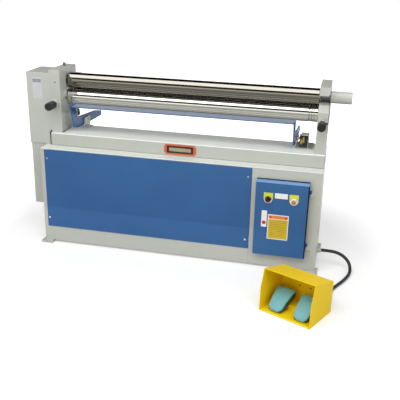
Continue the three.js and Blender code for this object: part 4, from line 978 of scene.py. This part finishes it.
# Flat dark pieces that stand in for shade, each (piece, box in X and Z, ends in Y): painted shadow in the gap
# between drive cover and bed and at its open corner, and the shadow line at the head's foot, then painted
# shadow strips at the door's edge and sloped top
shadeLines = [
    ("coverGapShadow", (-64.0, -59.1, 519.0, 586.0), (14.8, 4.0)),
    ("coverCornerShadow", (-62.5, -55.5, 586.5, 593.0), (12.95, 12.2)),
    ("headFootLine", (0.1, 2.2, 585.4, 587.2), (15.0, 118.0)),
]
for name, box, ends in shadeLines:
    platePiece(name, boxOutline(*box), "Y", ends, blackField, "frame")
# Near-black strips on the door's edge and sloped top: painted shadow
doorShadowStrips = [
    ("doorEdgeShadow", (1272.0, 1277.6, 84.0, 456.0), (-96.5, -80.0)),
    ("doorTopShadow", (1025.0, 1276.0, 465.2, 467.2), (-75.0, -65.6)),
]
for name, box, ends in doorShadowStrips:
    platePiece(name, boxOutline(*box), "Y", ends, doorShadowPaint, "door")

# Bare plates, each (piece, box in X and Z, corner, ends in Y, finish, slot, edge): the name plate's dark
# field and bar inside its raised red border, and on the upper drive cover a card with a band
plates = [
    ("namePlateField", (559.0, 694.0, 531.5, 568.0), 4.0, (-1.75, -2.3), blackField, "name_plate", 0.2),
    ("namePlateBar", (571.0, 682.0, 540.5, 559.0), 3.0, (-2.35, -2.6), creamBar, "name_plate", 0.0),
    ("coverPlate", (-151.0, -98.0, 751.0, 860.0), 3.0, (14.9, 14.3), lilacCard, "machine_paint", 0.15),
    ("coverPlateBand", (-148.0, -103.0, 834.0, 851.0), 1.0, (14.25, 14.05), indigoPrint, "machine_paint",
     0.0),
]
for name, box, corner, ends, finish, slotName, edge in plates:
    platePiece(name, roundRectangle(*box, corner), "Y", ends, finish, "frame", edge)

# Door's cards, all bare: a white card, a white strip with a red disc, and a yellow card with an orange
# head. Each is (piece, box in X and Z, corner, finish, how far it stands proud of a card under it).
doorCards = {
    "face": -96.0, "gap": 0.05, "thick": 0.7,
    "cards": [
        ("whiteCardPiece", (1117, 1178, 382, 408), 2.0, whiteCard, 0.0),
        ("stripCard", (1059, 1085, 231, 315), 2.0, whiteCard, 0.0),
        ("yellowCardEdge", (1090, 1190, 170, 298), 3.0, whiteCard, 0.0),
        ("yellowCardField", (1094, 1186, 174, 274), 1.0, yellowCard, 0.35),
        ("yellowCardHead", (1094, 1186, 277, 294), 1.0, orangeCard, 0.35),
    ],
    "disc": {"place": (1072.0, -96.8, 254.0), "radius": 9.5, "thick": 0.5, "segments": 40},
}


def makeDoorCards(s):
    for name, box, corner, finish, proud in s["cards"]:
        back = s["face"] - s["gap"] - (s["thick"] if proud else 0.0)
        platePiece(name, roundRectangle(*box, corner), "Y", (back, back - (proud or s["thick"])), finish,
                   "door")
    disc = s["disc"]
    discPiece("stripDisc", disc["place"], (0, -1, 0), disc["radius"], disc["thick"], redCap, "door",
              "name_plate", disc["segments"])


makeDoorCards(doorCards)

# Faint ruled lines and two red dots on the yellow card
cardMarks = {
    "lines": np.arange(186.0, 268.0, 9.0), "ends": (1100.0, 1180.0), "half": 0.9, "corner": 0.4,
    "face": -97.15, "proud": 0.12, "dots": (1103.0, 1177.0), "dotZ": 285.5, "dotRadius": 5.0,
    "dotSegments": 32,
}


def makeCardMarks(s):
    for count, z in enumerate(s["lines"]):
        outline = roundRectangle(*s["ends"], z - s["half"], z + s["half"], s["corner"])
        platePiece(f"cardLine.{count}", outline, "Y", (s["face"], s["face"] - s["proud"]), lineInk, "door")
    for count, x in enumerate(s["dots"]):
        discPiece(f"cardDot.{count}", (x, s["face"], s["dotZ"]), (0, -1, 0), s["dotRadius"], s["proud"],
                  redCap, "door", "name_plate", s["dotSegments"])


makeCardMarks(cardMarks)

# Legend plates: square above and round below, with a hole for the control. Point = control + reach *
# (cos a, sin a), where reach is the way to the square's side, or the lower radius, and the hole inside.
legend = {
    "half": 22.0, "up": 33.0, "below": 20.0, "hole": 15.4, "face": -96.0, "gap": 0.05, "thick": 0.7,
    "steps": 49, "z": 374.0, "controls": {"selector": 1086.0, "pilot": 1208.0},
}


def makeLegend(s, control, x):
    for half, first, last, finish in (
        ("Upper", 0.0, math.pi, limeCard), ("Lower", -math.pi, 0.0, whiteCard),
    ):
        turn = np.linspace(first, last, s["steps"])
        ahead = np.column_stack([np.cos(turn), np.sin(turn)])
        square = np.minimum(
            s["half"] / np.maximum(np.abs(ahead[:, 0]), tiny), s["up"] / np.maximum(ahead[:, 1], tiny),
        )
        reach = square if half == "Upper" else np.full(len(turn), s["below"])
        inner = np.array([x, s["z"]]) + s["hole"] * ahead
        outer = np.array([x, s["z"]]) + reach[:, None] * ahead
        front = s["face"] - s["gap"]
        platePiece(control + half, np.concatenate([outer, inner[::-1]]), "Y", (front, front - s["thick"]),
                   finish, "door")


for control, x in legend["controls"].items():
    makeLegend(legend, control, x)

# Selector and pilot lamp share a bezel: a round front with a soft rim and a body behind the door's face
bezel = {
    "face": -96.3, "front": -104.3, "back": -59.0, "radius": 15.0, "bore": 11.0, "rim": 2.0, "soft": 0.8,
    "segments": 56,
}


def bezelProfile(s):
    return softened([
        (s["front"], middleRing), (s["front"], s["radius"] - s["rim"]), (s["front"] + s["rim"], s["radius"]),
        (s["face"], s["radius"]), (s["face"], s["bore"]), (s["back"], s["bore"]), (s["back"], middleRing),
    ], s["soft"])


# Selector: black bezel and turned grip with a red tip
selector = {
    "place": (1086.0, 0.0, 374.0), "turn": math.radians(-40.0), "gripFront": -118.0, "gripHalf": 4.0,
    "gripReach": 13.0, "gripSunk": 0.3, "gripEdge": 1.0, "roundShare": 0.9, "lengthShare": 1 / 2.2,
    "tipLength": 7.0, "tipProud": 0.3, "tipForward": 0.2,
}


def makeSelector(s):
    turnedPiece("selectorBezel", bezelProfile(bezel), s["place"], (0, 1, 0), blackPlastic, "selector_knob",
                "black_plastic", ["selector_knob"], bezel["segments"])
    c, w = math.cos(s["turn"]), math.sin(s["turn"])
    reach, half, front, proud = s["gripReach"], s["gripHalf"], s["gripFront"], s["tipProud"]
    for name, a0, a1, wide, end, finish, slotName in (
        ("selectorGrip", -reach, reach, half, front, blackPlastic, "black_plastic"),
        ("selectorTip", reach - s["tipLength"], reach + proud, half + proud, front - s["tipForward"], redCap,
         "name_plate"),
    ):
        corner = min(wide * s["roundShare"], (a1 - a0) * s["lengthShare"])
        a, b = roundRectangle(a0, a1, -wide, wide, corner).T
        turned = np.column_stack([a * c - b * w, a * w + b * c]) + (s["place"][0], s["place"][2])
        platePiece(name, turned, "Y", (bezel["front"] + s["gripSunk"], end), finish, "selector_knob",
                   s["gripEdge"])


makeSelector(selector)

# Pilot lamp: white bezel and a domed amber lens as (cosine, sine) of a quarter turn
pilot = {
    "place": (1208.0, 0.0, 374.0), "lens": 10.5, "lensFront": -114.3, "lensRim": 4.0, "lensPoint": 0.05,
    "lensGap": 0.05, "lensSteps": 9,
}


def makePilot(s):
    turnedPiece("pilotCollar", bezelProfile(bezel), s["place"], (0, 1, 0), whiteCard, "door", "lamp_amber",
                ["pilot_lamp"], bezel["segments"])
    front, rim = bezel["front"], s["lensRim"]
    bend = np.linspace(s["lensPoint"], math.pi / 2, s["lensSteps"])
    bulge = front - s["lensFront"] - rim
    dome = np.column_stack([front - rim - bulge * np.cos(bend), s["lens"] * np.sin(bend)])
    lens = np.concatenate([dome, [(front - s["lensGap"], s["lens"])]])
    turnedPiece("pilotLens", lens, s["place"], (0, 1, 0), amberLens, "door", "lamp_amber", (),
                bezel["segments"])


makePilot(pilot)
print("door made")

# Treadles: a teal pad that rises to the rear over a darker wedge
treadle = {
    "xs": (65.0, 190.0), "half": 32.0, "thick": 15.0, "stations": 40, "around": 48, "lineSteps": 12,
    "squareness": 3.4, "spreadShare": 0.42, "marginAngle": 0.02, "noseShare": 0.2, "tailShare": 0.06,
    "noseWidthShare": 0.35, "tailWidthShare": 0.75, "thinShare": 0.15, "sharpAbove": 50.0,
    "line": [(13.5, 15.5), (24.0, 28.0), (56.0, 54.0), (98.0, 77.0), (119.0, 83.5), (131.0, 79.0)],
    "wedge": [(26.0, 6.5), (62.0, 8.4), (90.0, 31.0), (127.0, 45.5), (131.0, 70.0), (112.0, 72.0),
              (60.0, 42.0), (26.0, 14.0)],
    "wedgeHalf": 29.0, "wedgeEdge": 2.0,
}


# Sine or cosine whose circle is squarer: sign(v) * |v| ^ (2 / squareness)
def squared(v, squareness):
    return np.sign(v) * np.abs(v) ** (2.0 / squareness)


# Quarter of a circle over the first part of a length, then full: sqrt(1 - (1 - share / part)^2)
def roundedStart(share, part):
    return np.sqrt(np.clip(1.0 - (1.0 - np.clip(share / part, 0, 1)) ** 2, 0.0, 1.0))


# Pad ring = middle + across * half width * squared cosine + normal * half thickness * squared sine. Its
# stations lie along the line, closer together at both ends, where the pad narrows and thins.
def padRings(s, x):
    line = smoothPath(np.column_stack([np.zeros(len(s["line"])), s["line"]]), s["lineSteps"])
    reach = np.concatenate([[0.0], np.cumsum(np.linalg.norm(np.diff(line, axis=0), axis=1))])
    swing = np.linspace(s["marginAngle"], math.pi - s["marginAngle"], s["stations"])
    share = 0.5 - 0.5 * np.cos(swing)
    centre = np.column_stack([np.interp(share * reach[-1], reach, line[:, k]) for k in range(3)])
    ahead = np.gradient(centre, axis=0)
    ahead /= np.linalg.norm(ahead, axis=1, keepdims=True)
    normal = np.column_stack([np.zeros(len(ahead)), -ahead[:, 2], ahead[:, 1]])
    nose, tail = roundedStart(share, s["noseShare"]), roundedStart(1.0 - share, s["tailShare"])
    wide = s["half"] * (s["noseWidthShare"] + (1.0 - s["noseWidthShare"]) * nose)
    wide *= (s["tailWidthShare"] + (1.0 - s["tailWidthShare"]) * tail) * (1.0 + s["spreadShare"] * share)
    deep = 0.5 * s["thick"] * np.clip(np.minimum(nose, tail), s["thinShare"], 1.0)
    turn = np.linspace(0.0, 2 * math.pi, s["around"] + 1)[:-1]
    up, across = squared(np.sin(turn), s["squareness"]), squared(np.cos(turn), s["squareness"])
    middle = centre - normal * (0.5 * s["thick"])
    rings = middle[:, None] + normal[:, None] * (deep[:, None] * up[None])[..., None]
    rings[..., 0] += x + wide[:, None] * across[None]
    return rings


def makeTreadles(s):
    front, rear = s["line"][0][0], s["line"][-1][0]
    for x, side in zip(s["xs"], ("left", "right")):
        body = side + "_pedal"
        mesh = ringMesh(side + "Pad", fromFoot(padRings(s, x)), sharpAbove=s["sharpAbove"])
        newPiece(side + "Pad", mesh, tealPad, body, [body])

        # The wedge widens to the rear as its pad does
        def widened(rings, middle=x):
            share = np.clip((rings[..., 1] - front) / (rear - front), 0.0, 1.0)
            rings[..., 0] = middle + (rings[..., 0] - middle) * (1.0 + s["spreadShare"] * share)
            return fromFoot(rings)

        platePiece(side + "Wedge", s["wedge"], "X", (x - s["wedgeHalf"], x + s["wedgeHalf"]), greenSide, body,
                   s["wedgeEdge"], widened)


makeTreadles(treadle)

# The treadles' pin, seen only where it runs through the wedges
treadlePin = {
    "y": 36.0, "z": 16.0, "radius": 4.0, "point": 0.3, "half": 26.0, "segments": 24,
    "replaces": {"left": ["pedal_pin"], "right": []},
}


def makePins(s):
    for x, side in zip(treadle["xs"], ("left", "right")):
        start, end = fromFoot([(x + way * s["half"], s["y"], s["z"]) for way in (-1, 1)])
        reach = float(np.linalg.norm(end - start))
        profile = [(0.0, s["point"]), (0.0, s["radius"]), (reach, s["radius"]), (reach, s["point"])]
        turnedPiece(side + "Pin", profile, start, end - start, yellowPaint, bodyOf["pedal_pin"],
                    slotOf["pedal_pin"], s["replaces"][side], s["segments"])


makePins(treadlePin)

# Hood's front lip, in a paler yellow as a painted highlight, and inner screws, in the foot switch's own frame
hood = {
    "lip": [(0.2, 3.1), (0.2, 7.0), (3.0, 7.0), (6.0, 3.1)], "lipEnds": (7.0, 245.0), "lipEdge": 0.8,
    "screws": [(94.0, 186.0, 79.0), (149.0, 186.0, 82.0)], "radius": 4.2, "height": 2.2,
}
platePiece("hoodLip", hood["lip"], "X", hood["lipEnds"], hemHighlightYellow, "frame", hood["lipEdge"],
           fromFoot)
footAhead = unit(fromFoot((0.0, -1.0, 0.0)) - fromFoot((0.0, 0.0, 0.0)))
for count, place in enumerate(hood["screws"]):
    makeScrew(f"hoodScrew.{count}", fromFoot(place), footAhead, hood, darkSteel)

# Cable glands: a hexagon body, and a dome nut with a neck round the cable
gland = {
    "hexagon": [(0.0, 9.0), (0.0, 15.2), (8.0, 15.6), (9.0, 14.6), (9.0, 9.0)],
    "dome": [(-13.0, 8.6), (-13.0, 9.8), (9.0, 9.8), (9.0, 13.8), (15.0, 13.5), (21.0, 10.4), (22.0, 9.4),
             (22.0, 8.2), (-13.0, 8.2)],
    "soft": 0.8, "segments": 48, "standPlace": (1331.3, 20.0, 89.0), "hoodPlace": (207.0, 189.3, 25.0),
}


def makeGland(s, name, place, axis, finish, node):
    piece = turnedPiece(name + "Hex", s["hexagon"], place, axis, finish, "frame", "gland_grey", [node], 6,
                        loop=True)
    smoothed(piece.data, hexAngle)
    dome = softened(s["dome"], s["soft"])[:-1]
    turnedPiece(name + "Dome", dome, place, axis, finish, "frame", "gland_grey", (), s["segments"], loop=True)


makeGland(gland, "standGland", gland["standPlace"], (1, 0, 0), glandPlastic, "stand_gland")
makeGland(gland, "hoodGland", fromFoot(gland["hoodPlace"]), -footAhead, rubberBlack, "hood_gland")

# Louvre hoods on the rear panel, each a bent strip over its slot. The strip's point is
# (face + proud * sin a, top - drop * (1 - cos a)) over a quarter turn, and its inner side is one
# thickness smaller.
louvre = {
    "xs": (136.3, 1104.7), "halfWidth": 38.0, "base": 190.0, "rise": 24.0, "rows": 7, "height": 8.0,
    "over": 3.0, "drop": 10.0, "proud": 7.0, "face": 255.0, "thick": 1.0, "steps": 8,
}


def makeLouvres(s):
    bend = np.linspace(0.0, math.pi / 2, s["steps"])
    for column, x in enumerate(s["xs"]):
        for row in range(s["rows"]):
            top = s["base"] + row * s["rise"] + s["height"] + s["over"]
            outer, inner = [
                np.column_stack([
                    s["face"] + (s["proud"] - less) * np.sin(bend),
                    top - less - (s["drop"] - less) * (1 - np.cos(bend)),
                ])
                for less in (0.0, s["thick"])
            ]
            platePiece(f"louvre.{column}.{row}", np.concatenate([outer, inner[::-1]]), "X",
                       (x - s["halfWidth"], x + s["halfWidth"]), greyPaint, "frame")


makeLouvres(louvre)
print("foot switch, glands and louvres made")


# 1 for rays from the camera or from a mirroring surface, and 0 for all others
def seenDirectly(tree):
    path = tree.nodes.new("ShaderNodeLightPath")
    seen = tree.nodes.new("ShaderNodeMath")
    seen.operation = "MAXIMUM"
    tree.links.new(path.outputs["Is Camera Ray"], seen.inputs[0])
    tree.links.new(path.outputs["Is Glossy Ray"], seen.inputs[1])
    return seen.outputs[0]


# Floor: pale, with a glow that only the camera and reflections see. The glow is lift near the object,
# where its shadow falls, and grows to full strength between near and far (in metres from the middle).
stage = {
    "size": 16.0, "seen": 0.78, "bounce": 0.62, "lift": 0.3, "near": 1.0, "far": 1.9,
    "white": (1.0, 1.0, 1.0, 1.0),
}


def makeFloor(s):
    half = s["size"] / 2
    mesh = bpy.data.meshes.new("floor")
    corners = [(-half, -half, 0), (half, -half, 0), (half, half, 0), (-half, half, 0)]
    mesh.from_pydata(corners, [], [(0, 1, 2, 3)])
    floor = addObject("floor", mesh)
    material = bpy.data.materials.new("floorFinish")
    material.use_nodes = True
    tree = material.node_tree
    tree.nodes.remove(tree.nodes["Principled BSDF"])
    diffuse = tree.nodes.new("ShaderNodeBsdfDiffuse")
    glow = tree.nodes.new("ShaderNodeEmission")
    glow.inputs["Color"].default_value = s["white"]
    seen = seenDirectly(tree)
    tone = spread(tree, seen, s["bounce"], s["seen"], 0.0, 1.0)
    tree.links.new(tone, diffuse.inputs["Color"])
    spot = tree.nodes.new("ShaderNodeTexCoord")
    away = tree.nodes.new("ShaderNodeVectorMath")
    away.operation = "LENGTH"
    tree.links.new(spot.outputs["Object"], away.inputs[0])
    lift = spread(tree, away.outputs["Value"], s["lift"], 1.0, s["near"], s["far"])
    strength = tree.nodes.new("ShaderNodeMath")
    strength.operation = "MULTIPLY"
    tree.links.new(lift, strength.inputs[1])
    tree.links.new(seen, strength.inputs[0])
    tree.links.new(strength.outputs[0], glow.inputs["Strength"])
    both = tree.nodes.new("ShaderNodeAddShader")
    tree.links.new(diffuse.outputs[0], both.inputs[0])
    tree.links.new(glow.outputs[0], both.inputs[1])
    tree.links.new(both.outputs[0], tree.nodes["Material Output"].inputs["Surface"])
    mesh.materials.append(material)


makeFloor(stage)

# Studio cards round the rolls. Only reflections show them, so they put light and dark bands on bare
# steel, and faint ones on glossy paint, but cast no light or shadow of their own. A band is (elevation
# in degrees where it starts, colour), and it ends where the next one starts. Elevation is 0 straight to
# the front, 90 above the rolls and -90 below them. The front cards stand near up to nearBelow degrees
# and far above that. The under cards hang close below the rolls, where they stand in for the bed. No
# card reaches lower than floorGap over the floor (near, far, under, ends and floorGap in metres).
cards = {
    "axisY": 125.0, "axisZ": 790.0, "ends": (-4.2, 3.4), "near": 0.62, "far": 2.3, "nearBelow": 4.0,
    "under": 0.13, "floorGap": 0.004, "points": 9,
    "bands": [
        (-88.0, (0.22, 0.21, 0.19)), (-57.0, (0.46, 0.44, 0.4)), (-40.0, (0.64, 0.64, 0.6)),
        (-24.0, (0.38, 0.38, 0.35)), (-9.0, (0.52, 0.52, 0.49)), (5.0, (1.3, 1.3, 1.25)),
        (21.0, (0.06, 0.06, 0.05)), (49.0, (3.4, 3.4, 3.4)), (99.0, (0.015, 0.015, 0.015)), (179.0, None),
    ],
    "underBands": [
        (-178.0, (0.06, 0.06, 0.06)), (-115.0, (0.16, 0.16, 0.15)), (-84.0, (0.4, 0.38, 0.36)), (-60.0, None),
    ],
}


def cardGlow(name, colour):
    material = bpy.data.materials.new(name)
    material.use_nodes = True
    tree = material.node_tree
    tree.nodes.remove(tree.nodes["Principled BSDF"])
    glow = tree.nodes.new("ShaderNodeEmission")
    glow.inputs["Color"].default_value = (*colour, 1.0)
    tree.links.new(glow.outputs[0], tree.nodes["Material Output"].inputs["Surface"])
    return material


# A card's profile point = axis + distance * (-cos elevation, sin elevation) in Y and Z, carried along X
def makeCards(s, bands, near, far, group):
    axis = toRow((0.0, s["axisY"], s["axisZ"]))
    lowest = s["axisZ"] / 1000.0 - s["floorGap"]
    steps = s["points"]
    for count, ((start, colour), (end, _)) in enumerate(zip(bands[:-1], bands[1:])):
        rise = np.radians(np.linspace(start, end, steps))
        reach = np.where(np.degrees(rise) < s["nearBelow"], near, far)
        reach = np.minimum(reach, lowest / np.maximum(-np.sin(rise), tiny))
        line = np.column_stack([axis[1] - reach * np.cos(rise), axis[2] + reach * np.sin(rise)])
        points = [(x, y, z) for x in s["ends"] for y, z in line]
        faces = [(k, k + 1, steps + k + 1, steps + k) for k in range(steps - 1)]
        mesh = bpy.data.meshes.new(f"{group}Card.{count}")
        mesh.from_pydata(points, [], faces)
        mesh.materials.append(cardGlow(f"{group}Glow.{count}", colour))
        card = addObject(f"{group}Card.{count}", mesh)
        card.visible_camera = False
        card.visible_diffuse = False
        card.visible_shadow = False
        card.visible_transmission = False


makeCards(cards, cards["bands"], cards["near"], cards["far"], "front")
makeCards(cards, cards["underBands"], cards["under"], cards["under"], "under")

# World: plain white, at full strength to the camera and reflections only
world = {"light": 0.5, "seen": 1.0, "white": (1.0, 1.0, 1.0, 1.0)}


def makeWorld(s):
    bpy.context.scene.world = bpy.data.worlds.new("studio")
    bpy.context.scene.world.use_nodes = True
    tree = bpy.context.scene.world.node_tree
    background = tree.nodes["Background"]
    background.inputs["Color"].default_value = s["white"]
    strength = spread(tree, seenDirectly(tree), s["light"], s["seen"], 0.0, 1.0)
    tree.links.new(strength, background.inputs["Strength"])


makeWorld(world)

# Soft lights: (name, place, aimed at, size across and along, power)
lamps = [
    ("overhead", (0.0, -1.8, 3.0), (0.0, 0.0, 0.55), (3.6, 1.4), 58.0),
    ("frontLeft", (-2.6, -3.0, 2.6), (0.0, 0.0, 0.5), (2.0, 2.0), 25.0),
    ("frontRight", (3.0, -2.6, 2.2), (0.2, 0.0, 0.4), (1.6, 1.6), 21.0),
    ("lowFront", (0.35, -1.9, 0.55), (0.6, -0.45, 0.06), (0.5, 0.4), 2.6),
]


def makeLamp(name, place, aim, size, power):
    light = bpy.data.lights.new(name, "AREA")
    light.shape = "RECTANGLE"
    light.size, light.size_y = size
    light.energy = power
    lamp = addObject(name, light)
    back = unit(np.array(place) - np.array(aim))
    side = unit(np.cross((0.0, 1.0, 0.0) if abs(back[2]) > alike else (0.0, 0.0, 1.0), back))
    up = np.cross(back, side)
    lamp.matrix_world = Matrix(
        [[side[i], up[i], back[i], place[i]] for i in range(3)] + [[0.0, 0.0, 0.0, 1.0]]
    )


for row in lamps:
    makeLamp(*row)
bpy.context.scene.view_settings.view_transform = "Standard"
print("stage and lamps made")
